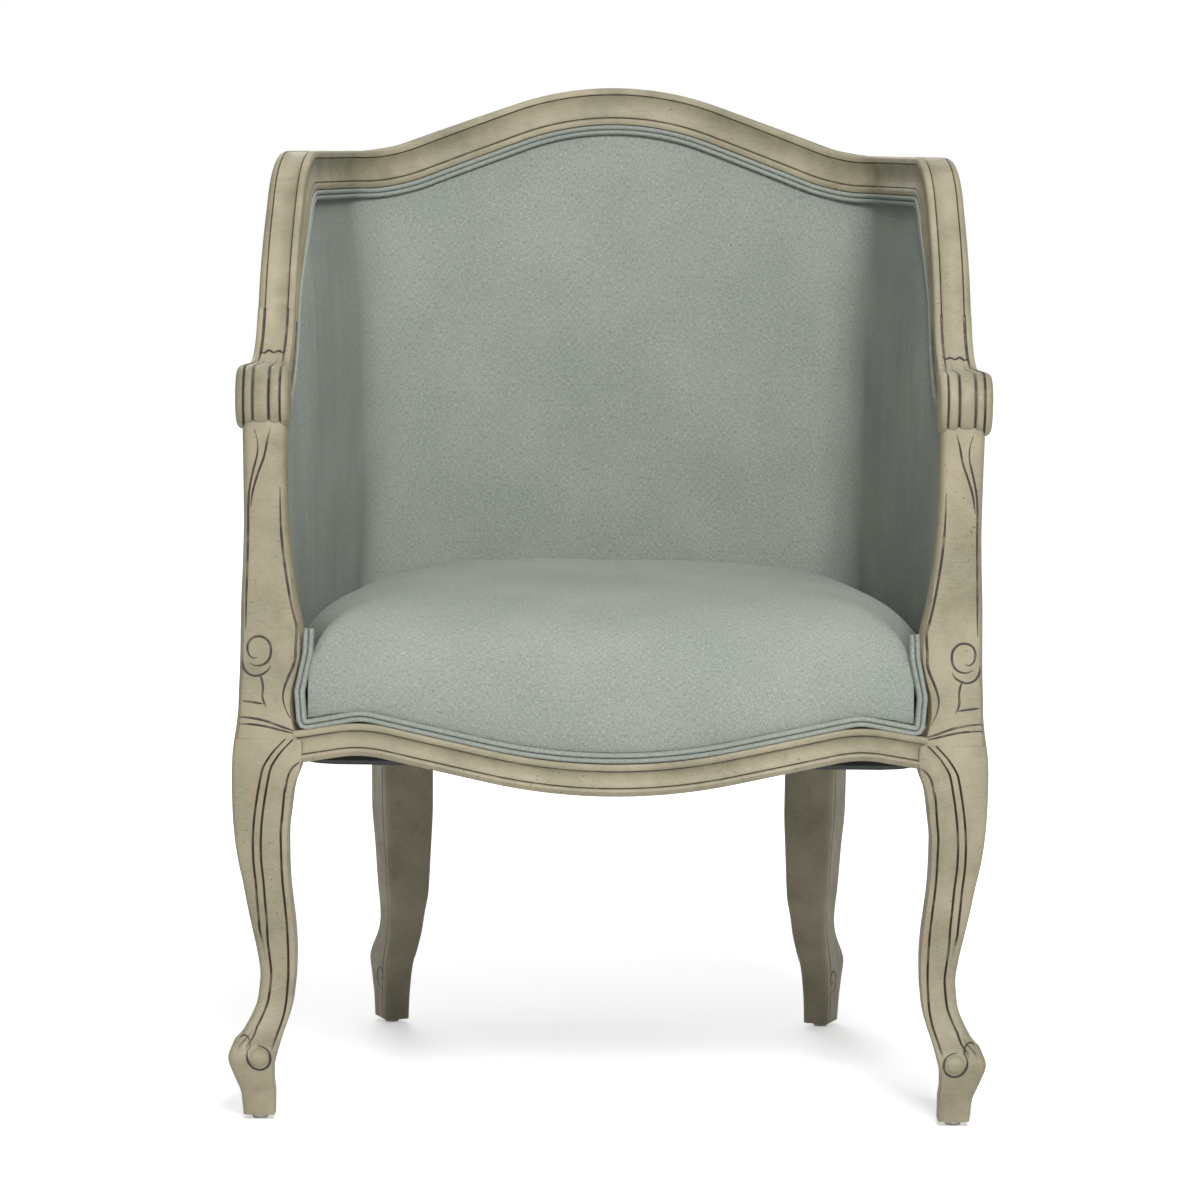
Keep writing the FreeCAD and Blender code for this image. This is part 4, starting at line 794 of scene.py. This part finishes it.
# lines on the fronts of the stumps and the legs: the surface, the width and the (x, height) corners
CARVED = (
    ("stump_rosette", stump_front, 2.2, (
        (304.2, 404.1), (308.3, 403.4), (311.8, 405.9), (313.3, 410.7), (313, 415.3), (310.5, 419.6), (305, 422),
        (299, 421), (294.3, 416.2), (293.1, 409.6), (294.7, 402.5), (299.3, 398.1), (305.9, 396.9),
        (311.7, 399.4))),
    ("stump_curl", stump_front, 2, (
        (317.6, 402.8), (316.9, 396.3), (313.6, 391), (308.1, 388.3), (301.8, 389), (296, 392.8), (293.2, 397.6))),
    ("stump_return", stump_front, 2, (
        (302.9, 390.4), (300.6, 384.7), (299.6, 377.6), (300.1, 371.9), (299.2, 367), (296.8, 361.9))),
    ("stump_inner", stump_front, 2.4, (
        (286.2, 551.3), (285.8, 525.4), (284.3, 502.3), (281.4, 479.3), (277.5, 456.3), (273.6, 439),
        (271.6, 431.9), (271.5, 423.4), (272.2, 413.5), (272.4, 403.5), (274.3, 396.3), (278.5, 386.3),
        (281.8, 376.3), (282.3, 369.1), (280.3, 360.5), (276, 351.9))),
    ("stump_outer", stump_front, 2, (
        (308.5, 601.7), (305.6, 591.4), (305.6, 579.9), (309, 565.5), (312, 551.1), (313.2, 536.6), (313.4, 513.5),
        (313.9, 484.6), (314.7, 458.7), (315, 438.6), (315.3, 427.2))),
    ("stump_twist", stump_front, 2, (
        (294.2, 601.9), (297, 591.5), (299.9, 577.1), (305, 562.7), (309.2, 548.2), (311.5, 533.8))),
    ("collar_ledge", stump_front, 2, (
        (317.7, 366.6), (309.3, 365.7), (298.6, 364.2))),
    ("collar_upper", stump_front, 2.2, (
        (320.5, 352.9), (309.1, 352), (296.1, 349.4), (281.8, 344.3), (271, 340.6))),
    ("collar_lower", stump_front, 2, (
        (321, 346.9), (309, 346.6), (296.1, 344.8), (281.7, 341.2), (271, 338.7))),
    ("leg_turn", leg_front, 1.9, (
        (267.3, 315), (273.1, 310.3), (276.5, 304.5), (278.4, 297), (279.2, 288.2))),
    ("toe_volute", leg_front, 2.2, (
        (308.3, 66.4), (310.8, 63.4), (311.7, 58.2), (310, 52.3), (305.7, 47.7), (299.3, 46.3), (293.8, 49.4),
        (291.4, 55.1), (292.6, 61.5), (297.2, 65.5), (302.7, 67.1))),
    ("toe_ear", leg_front, 2, (
        (318.1, 73.3), (315.2, 75.1), (311.4, 73), (309.3, 68.3), (309.9, 63.4))),
)
for stem, depth_of, width, corners in CARVED:
    line = smooth_line([(x, height, 0) for x, height in corners])
    points = [Vector((place.x, depth_of(place.x, place.y), place.y)) for place in line]
    both_sides(stem, "front_post", *carved_line(points, width), 80)


# low dome that stands proud of the toe's front, and is sunk into it by a little
BOSS_X, BOSS_HEIGHT, BOSS_RADIUS, BOSS_PROUD, BOSS_SUNK = 301.4, 56.8, 8.6, 2.2, 0.6
boss = []
for lift in (0, 0.35, 0.65, 0.87, 0.98, 0.999):
    reach = BOSS_RADIUS * sqrt(1 - lift ** 2)
    turned = [number * tau / 24 for number in range(24)]
    places = [(BOSS_X + reach * cos(angle), BOSS_HEIGHT + reach * sin(angle)) for angle in turned]
    boss.append([Vector((x, leg_front(x, z) + BOSS_SUNK - (BOSS_PROUD + BOSS_SUNK) * lift, z)) for x, z in places])
both_sides("toe_boss", "front_post", boss, None, 80)
lobes = smooth_line((
    (315.5, 121.6, 662.7), (311.2, 122.4, 663.3), (307.7, 119.8, 661.3), (303.7, 125.3, 663.9), (299.2, 123, 661.9),
    (294.8, 124, 663.6), (291.3, 120.2, 662.2), (287.4, 121.8, 664.3)), 1.5)
both_sides("arm_lobes", "arm_rail", *carved_line(lobes, 1.8, Vector((0, 0.8, -0.6))), 80)


# Rear legs: height, front of the leg from the block's front, depth and width

REAR_BLOCK = 41
REAR_RUN = 197
REAR_TOP = 292
REAR_TABLE = tuple((height * REAR_TOP, front * REAR_BLOCK, depth * REAR_BLOCK, width * REAR_BLOCK) for
                   height, front, depth, width in (
    (0.0154, 0.837, 0.90, 0.60), (0.082, 0.824, 0.97, 0.62), (0.161, 0.746, 1.19, 0.66), (0.212, 0.620, 1.40, 0.68),
    (0.240, 0.493, 1.34, 0.72), (0.281, 0.344, 1.12, 0.77), (0.322, 0.210, 0.95, 0.81), (0.363, 0.134, 0.89, 0.84),
    (0.462, 0.000, 1.00, 0.98), (0.600, 0.000, 1.09, 1.08), (0.740, 0.030, 1.18, 1.18), (1.000, 0.110, 1.12, 1.20)))
# the post above the leg, and the volute on its foot
POST_HALF = 22.5
POST_TOP = 790
VOLUTE_BACK, VOLUTE_HEIGHT, VOLUTE_RADIUS = 47, 46, 13
VOLUTE_START, VOLUTE_TURNS, VOLUTE_COUNT = 4.4, 1.25, 60
rear_heading = plan_point(REAR_RUN)[2]
rear_out = Vector((sin(rear_heading), cos(rear_heading), 0))
rear_along = Vector((cos(rear_heading), -sin(rear_heading), 0))
rear_base = wall(REAR_RUN, REAR_TOP, 8.7) - rear_out * (REAR_BLOCK / 2)


def rear_place(across, back):
    """Plan place from the middle of a rear leg's front, across and back."""
    return rear_base + rear_along * across + rear_out * back


def rear_ring(height):
    """Points (x, y, glaze) round a rear leg, with its incised line on the outer side."""
    front, depth, width = table_at(REAR_TABLE, height)
    round_over = 5
    half = width / 2
    ring = []

    def add(across, back, glaze=0):
        place = rear_place(across, back)
        ring.append((place.x, place.y, glaze))

    for side, far in ((1, 0), (1, 1), (-1, 1), (-1, 0)):
        for number in range(5):
            angle = pi / 2 * number / 4
            first, second = sin(angle), cos(angle)
            if far == (side > 0):
                first, second = second, first
            add(side * half - side * round_over * (1 - first),
                front + far * depth + (1 - 2 * far) * round_over * (1 - second))
        if far == 0 and side == 1:
            for share, dip, glaze in ((0.14, 0, 0), (0.17, 1.2, 1), (0.2, 0, 0), (0.5, 0, 0), (0.8, 0, 0)):
                add(half - dip, front + round_over + (depth - 2 * round_over) * share, glaze)
        if far == 1 and side == 1:
            for share in (0.3, 0.7):
                add(half - round_over - (width - 2 * round_over) * share, front + depth)
    return ring


def rear_volute():
    """Points of the flat spiral that winds inwards on the outer side of a rear foot."""
    points = []
    for number in range(VOLUTE_COUNT + 1):
        share = number / VOLUTE_COUNT
        radius, angle = VOLUTE_RADIUS * (1 - share * 0.88), VOLUTE_START + VOLUTE_TURNS * tau * share
        height = VOLUTE_HEIGHT + radius * sin(angle)
        place = rear_place(table_at(REAR_TABLE, height)[2] / 2, VOLUTE_BACK + radius * cos(angle))
        points.append(Vector((place.x, place.y, height)))
    return points


def post_block(low, high, inner, outer):
    """Rows of the rear post's block between two heights."""
    return [[wall(run, low, inner), wall(run, high, inner), wall(run, high, outer), wall(run, low, outer)]
            for run in (REAR_RUN - POST_HALF, REAR_RUN, REAR_RUN + POST_HALF)]


both_sides("rear_leg", "rear_post", *rings(rear_ring, REAR_TABLE, REAR_TOP, 4))
both_sides("rear_volute", "rear_post", *carved_line(rear_volute(), 2, -rear_along), 80)
both_sides("rear_post_foot", "rear_post", post_block(REAR_TOP, DECK, 0, RAIL_WIDTH), None)
both_sides("rear_post_head", "rear_post", post_block(DECK, POST_TOP, REBATE, RAIL_WIDTH - REBATE), None,
           slot="bare_beech")


# Front seat rail

# heights of the lower edge in the middle, near the leg and at the end; the face's height, the rail's thickness and top
FRONT_LOW = 288.7
FRONT_SIDE = 215
FRONT_SIDE_LOW = 322.5
FRONT_SLOPE = tan(radians(11.9))
FRONT_END_LOW = 313
FRONT_FACE = 28.5
FRONT_THICK = 30
FRONT_TOP = 37.4
FRONT_APEX = FRONT_SIDE_LOW - FRONT_SLOPE * FRONT_SIDE
FRONT_RADIUS = (FRONT_LOW - FRONT_APEX) / (hypot(1, FRONT_SLOPE) - 1)
FRONT_CORNERS = [(FRONT_RAIL_END + 3, FRONT_END_LOW), (FRONT_SIDE, FRONT_SIDE_LOW)]
FRONT_LINE = rounded_path(mirrored_corners(FRONT_CORNERS, FRONT_APEX), [100, FRONT_RADIUS, 100], 4)


def front_edge(x):
    """Height of the front rail's lower edge."""
    return min(FRONT_LINE, key=lambda sample: abs(sample[0] - x))[1]


def front_section():
    """Height, depth and glaze of the front rail's moulding: bead, cove and bead."""
    top, line = FRONT_FACE, FRONT_FACE - BEAD
    return [
        (4, 0, 0), (1.2, 0.7, 0), (0.3, 2, 0), (0, 4, 0.1), (0, 14, 0), (0, FRONT_THICK, 0),
        (FRONT_TOP, FRONT_THICK, 0), (FRONT_TOP, REBATE, 0), (top, REBATE, 0.4), (top, 1.6, 0.2), (top - 0.4, 0.5, 0),
        (top - 1.6, 0, 0), (top - BEAD / 2, -0.3, 0), (line + 0.9, 0.2, 0), (line, 1.6, 1), (line - 0.9, 0.8, 0.3),
        *bent((line - 0.9, 0.8), (top / 2 + 0.5, 3.4), (BEAD + 1.6, 0.8), 10),
        (BEAD + 0.7, 1.6, 1), (BEAD - 0.2, 0.2, 0), (BEAD / 2 + 1, -0.3, 0)]


make_piece("front_rail", "front_seat_rail", *swept(front_face, FRONT_LINE, front_section()))


# Double welts

WELT_INSET = RAIL_DEPTH + 0.3
# distances of the inside and outside cloths under the welts from the rail's inner face
PAD_TOP_OUT = REBATE - 0.6 - 0.9
OUTER_SEAT = RAIL_WIDTH - REBATE + 0.3 + 2.4 + 0.3 + CLOTH + 0.3


def welt_section(start, seat, proud):
    """Two cords side by side with the groove between them, marked for painted shade and stitches."""
    radius = CORD / 2
    height = proud - seat
    section = [(start, seat, 0)]
    for cord in (0, 1):
        centre = start + radius + cord * CORD
        for number in range(9):
            angle = pi * (1 - number / 8)
            lift = height * (0.42 + 0.58 * sin(angle))
            section.append((centre + radius * cos(angle) * 0.97, seat + lift, 0))
        if cord == 0:
            section.append((start + CORD, seat + height * 0.32, 1))
    return section + [(start + 2 * CORD, seat, 0)]


def welt(name, node, surface, samples, section):
    rows, marks = swept(surface, samples, section)
    origins = [surface(a, b) for a, b, along, up in samples]
    runs = [0]
    for first, second in zip(origins, origins[1:]):
        runs.append(runs[-1] + (second - first).length)
    grain = [[(run, index * 1.1) for index in range(len(section))] for run in runs]
    piece = make_piece(name, node, rows, marks, "welt_cloth", 80, grain)


def seat_welt_path():
    """Middle line of the seat's welt: down one stump, along the front rail and up the other."""
    rise = FRONT_FACE + CORD + 0.3
    right = [(260.5, 430), (261.5, 409), (268.6, 375), (266.2, FRONT_END_LOW + rise - 0.6),
             (FRONT_SIDE, FRONT_SIDE_LOW + rise)]
    radii = [14, 14, 4, 50]
    return rounded_path(mirrored_corners(right, FRONT_APEX + rise), radii + [FRONT_RADIUS] + radii[::-1], 4)


welt("inside_double_welt", "inside_welt", wall, rim_samples(4),
     welt_section(WELT_INSET, PAD_TOP_OUT - CORD / 2, -1.4))
welt("outside_double_welt", "outside_welt", wall, rim_samples(4),
     welt_section(WELT_INSET, OUTER_SEAT, OUTER_SEAT + CORD - 0.9))
welt("seat_double_welt", "seat_welt", front_face, seat_welt_path(), welt_section(-CORD, 5.2, -1.2))


# Inside back and arms

def cloth_relief(x, y, z, scale, height):
    return noise.noise(Vector((x, y, z)) / scale) * height


def pad_face(run, share):
    """Distance of the inside cloth from the rail's inner face at a share of its height."""
    settle = smooth_share(abs(run) / BEND_RUN - 0.5)
    crown = BACK_CROWN + (ARM_CROWN - BACK_CROWN) * settle
    return -PAD_EDGE + (PAD_TOP_OUT + PAD_EDGE) * share - crown * (1 - abs(2 * share - 1) ** 2.6)


def inset_edge(step, inset):
    """Runs and heights of a line that keeps a distance from the rim's edge."""
    return [(a + up * inset, b - along * inset) for a, b, along, up in rim_samples(step)]


def inside_pad():
    rows, grain = [], []
    shown = [number / 34 for number in range(33)] + [0.965, 0.985, 1]
    hidden = [1, 0.7, 0.35, 0]
    for run, high in inset_edge(7, RAIL_DEPTH + CORD / 2):
        row = []
        heights = [PAD_LOW + (high - PAD_LOW) * share for share in shown + hidden]
        for share, height in zip(shown, heights):
            fade = min(1, (1 - share) * 12, share * 6 + 0.3)
            out = pad_face(run, share) + cloth_relief(run, height, 0, 70, 1.6) * fade
            out += cloth_relief(run * 2.2, height * 0.5, 9, 38, 0.7) * fade
            row.append(wall(run, height, out))
        for share, height in zip(hidden, heights[len(shown):]):
            row.append(wall(run, height, PAD_TOP_OUT - 0.1 + (0.6 if share == 1 else 0)))
        rows.append(row)
        grain.append([(run, height + (40 if index >= len(shown) else 0)) for index, height in enumerate(heights)])
    piece = make_piece("inside_pad", "inside_cover inside_foam", rows, None, "cover_cloth", 60, grain)


inside_pad()


# Seat

# the cloth's edge above the rail's lower edge; its depths behind and over the welt; how square the crown is
SEAT_LIP = 37.3
SEAT_TOP = SEAT_CROWN + 4
SEAT_FLOOR = 332
SEAT_BEHIND = 18.8
SEAT_OVER = 3.2
SEAT_POWER = 4
SEAT_CORNER_DEPTH = 62
SEAT_SIDE_DEPTH = 110


def seat_plan():
    """Plan of the seat from one side round the back to the other; None leaves the front's depths open."""
    run = run_at_front(SEAT_SIDE_DEPTH)
    back = [wall(place, PAD_LOW, -PAD_EDGE - CLOTH - 0.6) for place in spaced(-run, run, 12)]
    front = [(x, None) for x in spaced(-SEAT_HALF, SEAT_HALF, 9)]
    return [(place.x, place.y) for place in reversed(back)] + [(-SEAT_HALF, SEAT_CORNER_DEPTH)] + front + [
        (SEAT_HALF, SEAT_CORNER_DEPTH)]


def seat_ring(inset, base_lift, share=1, rise=0):
    """Ring of the seat: drawn in to a share and lifted towards the crown by a rise from 0 to 1."""
    ring = []
    middle = Vector((0, TUB_BACK / 2))
    for x, y in seat_plan():
        if y is None:
            corner = smooth_share((abs(x) - (SEAT_HALF - 16)) / 16)
            y = front_face(x, 0).y + inset + 1.5 * corner ** 2
        near = smooth_share((y - 30) / 120)
        base = (front_edge(x) + SEAT_LIP) * (1 - near) + PAD_LOW * near + base_lift
        drawn = middle + (Vector((x, y)) - middle) * share
        height = base + (SEAT_TOP - base) * rise
        relief = cloth_relief(drawn.x, drawn.y, height, 85, 2.2) + cloth_relief(drawn.x, drawn.y, height, 34, 0.5)
        height += relief * rise * min(1, (1 - share) * 6)
        ring.append(Vector((drawn.x, drawn.y, height)))
    return ring


def seat_pad():
    lowest = seat_ring(SEAT_BEHIND, 0)
    rows = [[Vector((point.x, point.y, SEAT_FLOOR)) for point in lowest], lowest,
            seat_ring((SEAT_BEHIND + SEAT_OVER) / 2, 0.3), seat_ring(SEAT_OVER + 0.7, 0.5), seat_ring(SEAT_OVER, 1.6)]
    for angle in spaced(0, pi / 2, radians(3))[1:]:
        share, rise = max(0.01, cos(angle)) ** (2 / SEAT_POWER), sin(angle) ** (2 / SEAT_POWER)
        rows.append(seat_ring(SEAT_OVER, 1.6, share, rise))
    grain = [[(point.x, point.y + point.z) for point in row] for row in rows]
    piece = make_piece("seat_pad", "seat_foam seat_cover", rows, None, "cover_cloth", 70, grain)


seat_pad()


# Flat cloths: hessian, outside cover, padding, webbing and dust cover


def make_sheet(name, node, rows, grain, slot):
    piece = make_piece(name, node, rows, None, slot, 60, grain, closed=False)


def wall_cloth(name, node, low, top_inset, out, slot):
    """Sheet round the tub's wall, from a height up to a distance under the rim's edge."""
    rows, grain = [], []
    for run, high in inset_edge(8, top_inset):
        heights = [low + (high - low) * number / 24 for number in range(25)]
        rows.append([wall(run, height, out) for height in heights])
        grain.append([(run, height) for height in heights])
    make_sheet(name, node, rows, grain, slot)


HESSIAN_LOW = 372
wall_cloth("inside_back_hessian", "inside_hessian", HESSIAN_LOW, RAIL_DEPTH + CORD, REBATE - 0.7, "hessian")
wall_cloth("outside_linen", "outside_cover", DECK + 0.3, RAIL_DEPTH + CORD / 2, OUTER_SEAT - 0.5,
           "cover_cloth")
wall_cloth("outside_back_padding", "outside_padding", DECK + 0.3, RAIL_DEPTH + CORD, RAIL_WIDTH - REBATE + 1.5,
           "batting")


def halfway(value_of, target, low, high):
    """Place between two others where a falling value meets a target."""
    for _ in range(40):
        middle = (low + high) / 2
        if value_of(middle) > target:
            low = middle
        else:
            high = middle
    return (low + high) / 2


def run_at_depth(y, out):
    """Run at which the tub's wall reaches a depth."""
    return halfway(lambda run: wall(run, DECK, out).y, y, 0, run_at_front(0))


def half_width(y, out):
    """Half of the tub's width at a depth, to a distance from the rail's inner face."""
    return wall(run_at_depth(y, out), DECK, out).x


def depth_at(x, out):
    """Depth of the tub's back at a place."""
    return wall(halfway(lambda run: -wall(run, DECK, out).x, -x, 0, BEND_RUN), DECK, out).y


def flat_cloth(name, node, rows, slot):
    """Sheet between the seat rails."""
    grain = [[(point.x, point.y) for point in row] for row in rows]
    make_sheet(name, node, rows, grain, slot)


# webbing: half its width, and how far it laps the rails
STRAP_HALF = 25
STRAP_ACROSS = (-STRAP_HALF, -12, 0, 12, STRAP_HALF)
STRAP_EDGE = STRAP_HALF + 1
STRAP_PITCH = 70
STRAP_THICK = 1.4
STRAP_LAP = 19
STRAP_FRONT_LAP = 17.5
STRAP_LONG = [STRAP_PITCH * number for number in (-2, -1, 0, 1, 2)]
STRAP_CROSS = [TUB_BACK / 2 + STRAP_PITCH * number for number in (-1.5, -0.5, 0.5, 1.5)]


def weave_level(place, crossings, first_over):
    """Interlaced height with half of each change on either side of the middle between crossings."""
    for index, (near, far) in enumerate(zip(crossings, crossings[1:])):
        if near <= place <= far:
            level = 1 if first_over == (index % 2 == 0) else 0
            share = smooth_share((place - near - STRAP_EDGE) / (far - near - 2 * STRAP_EDGE))
            return DECK + STRAP_THICK * (0.5 + level + (1 - 2 * level) * share)
    index = 0 if place < crossings[0] else len(crossings) - 1
    level = 1 if first_over == (index % 2 == 0) else 0
    edge = smooth_share((abs(place - crossings[index]) - STRAP_EDGE) / 30)
    return DECK + STRAP_THICK * (0.5 + level * (1 - edge))


for number, x in enumerate(STRAP_LONG):
    places = spaced(front_face(x, 0).y + STRAP_FRONT_LAP, depth_at(abs(x) + STRAP_HALF, STRAP_LAP), 6)
    strap = [[Vector((x + side, y, weave_level(y, STRAP_CROSS, number % 2 == 0))) for side in STRAP_ACROSS]
             for y in places]
    flat_cloth(f"long_strap_{number + 1}", "seat_webbing_long", strap, "webbing")
for number, y in enumerate(STRAP_CROSS):
    half = half_width(y + STRAP_HALF, STRAP_LAP)
    strap = [[Vector((x, y + side, weave_level(x, STRAP_LONG, number % 2 == 1))) for side in STRAP_ACROSS]
             for x in spaced(-half, half, 6)]
    flat_cloth(f"cross_strap_{number + 1}", "seat_webbing_cross", strap, "webbing")

# half width between the front legs, the side rails' sweep, and the lower ends of the legs' backs and the blocks
FRONT_HALF = 262
SIDE_SWEEP_RUN = 330
SIDE_RAIL_FRONT_LOW = 304
SIDE_SWEEP_FRONT = 52.25
LEG_BACK = 66
BLOCK_LOW = 316
SEAT_HESSIAN_HEIGHT = 331.3
# where the dust cover starts and ends its slope from the front rail
SLOPE_START = 50
SLOPE_LENGTH = 175


def floor_half(y, out):
    return half_width(y, out) if y > LEG_BACK else FRONT_HALF


def side_rail_low(y):
    """Height of the side rail's lower edge, which sweeps up towards the front legs."""
    share = (run_at_depth(y, 0) - SIDE_SWEEP_RUN) / (run_at_front(SIDE_SWEEP_FRONT) - SIDE_SWEEP_RUN)
    return RAIL_FLOOR + (SIDE_RAIL_FRONT_LOW - RAIL_FLOOR) * smooth_share(share)


def seat_cloth():
    rows = []
    for y in spaced(26, TUB_BACK - 3, 12):
        half = floor_half(y, -4)
        rows.append([Vector((half * share / 12, y, SEAT_HESSIAN_HEIGHT)) for share in range(-12, 13)])
    flat_cloth("seat_platform_hessian", "seat_hessian", rows, "hessian")


def under_cloth():
    """Black cloth under the rails; behind the front rail it hangs past the corner blocks, then runs back straight."""
    rows = []
    lowest = RAIL_FLOOR - 1
    for y in [12] + spaced(12.05, TUB_BACK + 14, 9):
        half = floor_half(y, 15)
        row = []
        for number in range(-20, 21):
            x = half * number / 20
            front = min(BLOCK_LOW, front_edge(x)) - 0.6 if rows else front_edge(x) + 1
            height = lowest + (front - lowest) * (1 - min(1, max(0, (y - SLOPE_START) / SLOPE_LENGTH)))
            side = side_rail_low(y) - 1
            edge = smooth_share((abs(x) - (half - 32)) / 16) if y > LEG_BACK else 0
            row.append(Vector((x, y, height + (side - height) * edge)))
        rows.append(row)
    flat_cloth("under_cloth", "dust_cover", rows, "dust_cloth")


seat_cloth()
under_cloth()


# Camera, light, floor

CAMERA_DISTANCE = 4341
CAMERA_HEIGHT = 853.9
CAMERA_SIDE = -10.3
CAMERA_PITCH = radians(5.2145)
CAMERA_ROLL = radians(0.6)
FOCAL_PIXELS = 5081.2
PHOTO_PIXELS = 1200
SENSOR = 36

camera_data = bpy.data.cameras.new("camera")
camera_data.sensor_width = SENSOR
camera_data.lens = FOCAL_PIXELS / PHOTO_PIXELS * SENSOR
camera = bpy.data.objects.new("camera", camera_data)
scene.collection.objects.link(camera)
camera.location = (CAMERA_SIDE * MM, -CAMERA_DISTANCE * MM + Y_FRONT, CAMERA_HEIGHT * MM)
camera.rotation_mode = "XYZ"
turn = Matrix.Rotation(pi / 2 - CAMERA_PITCH, 4, "X") @ Matrix.Rotation(CAMERA_ROLL, 4, "Z")
camera.rotation_euler = turn.to_euler()
scene.camera = camera


# square lights: name, place, height of the place they aim at, size and watts
for name, place, aim, size, power in (
        ("key", (0.5, -3.1, 2.6), 0.45, 1.2, 142), ("fill", (-1.2, -3.6, 1.2), 0.45, 1.6, 3),
        ("back", (-0.8, 3.4, 2.4), 0.45, 1.6, 28), ("top", (0, 0.3, 3.2), 0.4, 2.2, 24)):
    light = bpy.data.lights.new(name, "AREA")
    light.shape = "RECTANGLE"
    light.size = light.size_y = size
    light.energy = power
    lamp = bpy.data.objects.new(name, light)
    scene.collection.objects.link(lamp)
    lamp.location = place
    lamp.rotation_euler = (Vector((0, 0, aim)) - Vector(place)).to_track_quat("-Z", "Y").to_euler()

# The world lights the part faintly, and is white where it is looked at.
WORLD_LIGHT = 0.085
scene.world = bpy.data.worlds.new("studio")
made = Nodes(scene.world)
made.feed(made.tree.nodes["Background"], Color=(1, 1, 1, 1), Strength=made.ramp(made.direct(), 0, 1, WORLD_LIGHT))

# The floor is pale and glows a little where it is looked at, more so further away.
FLOOR_REACH = 12
# distance from the middle in metres, and strength
GLOW_NEAR = (0.6, 0.48)
GLOW_FAR = (2.2, 1)
floor_mesh = bpy.data.meshes.new("floor")
floor_mesh.from_pydata([(x * FLOOR_REACH, y * FLOOR_REACH, 0) for x, y in ((-1, -1), (1, -1), (1, 1), (-1, 1))],
                       [], [(0, 1, 2, 3)])
floor = bpy.data.objects.new("floor", floor_mesh)
scene.collection.objects.link(floor)
made = new_material("floor_white")
far = made.add("VectorMath", operation="LENGTH", i0=made.place()).outputs["Value"]
glow = made.times(made.direct(), made.ramp(far, GLOW_NEAR[0], GLOW_FAR[0], GLOW_NEAR[1], GLOW_FAR[1]))
made.feed(made.tree.nodes["Principled BSDF"], Base_Color=(0.93, 0.93, 0.93, 1), Roughness=0.6,
          Emission_Color=(1, 1, 1, 1), Emission_Strength=glow)
floor_mesh.materials.append(made.owner)

scene.view_settings.view_transform = "Standard"
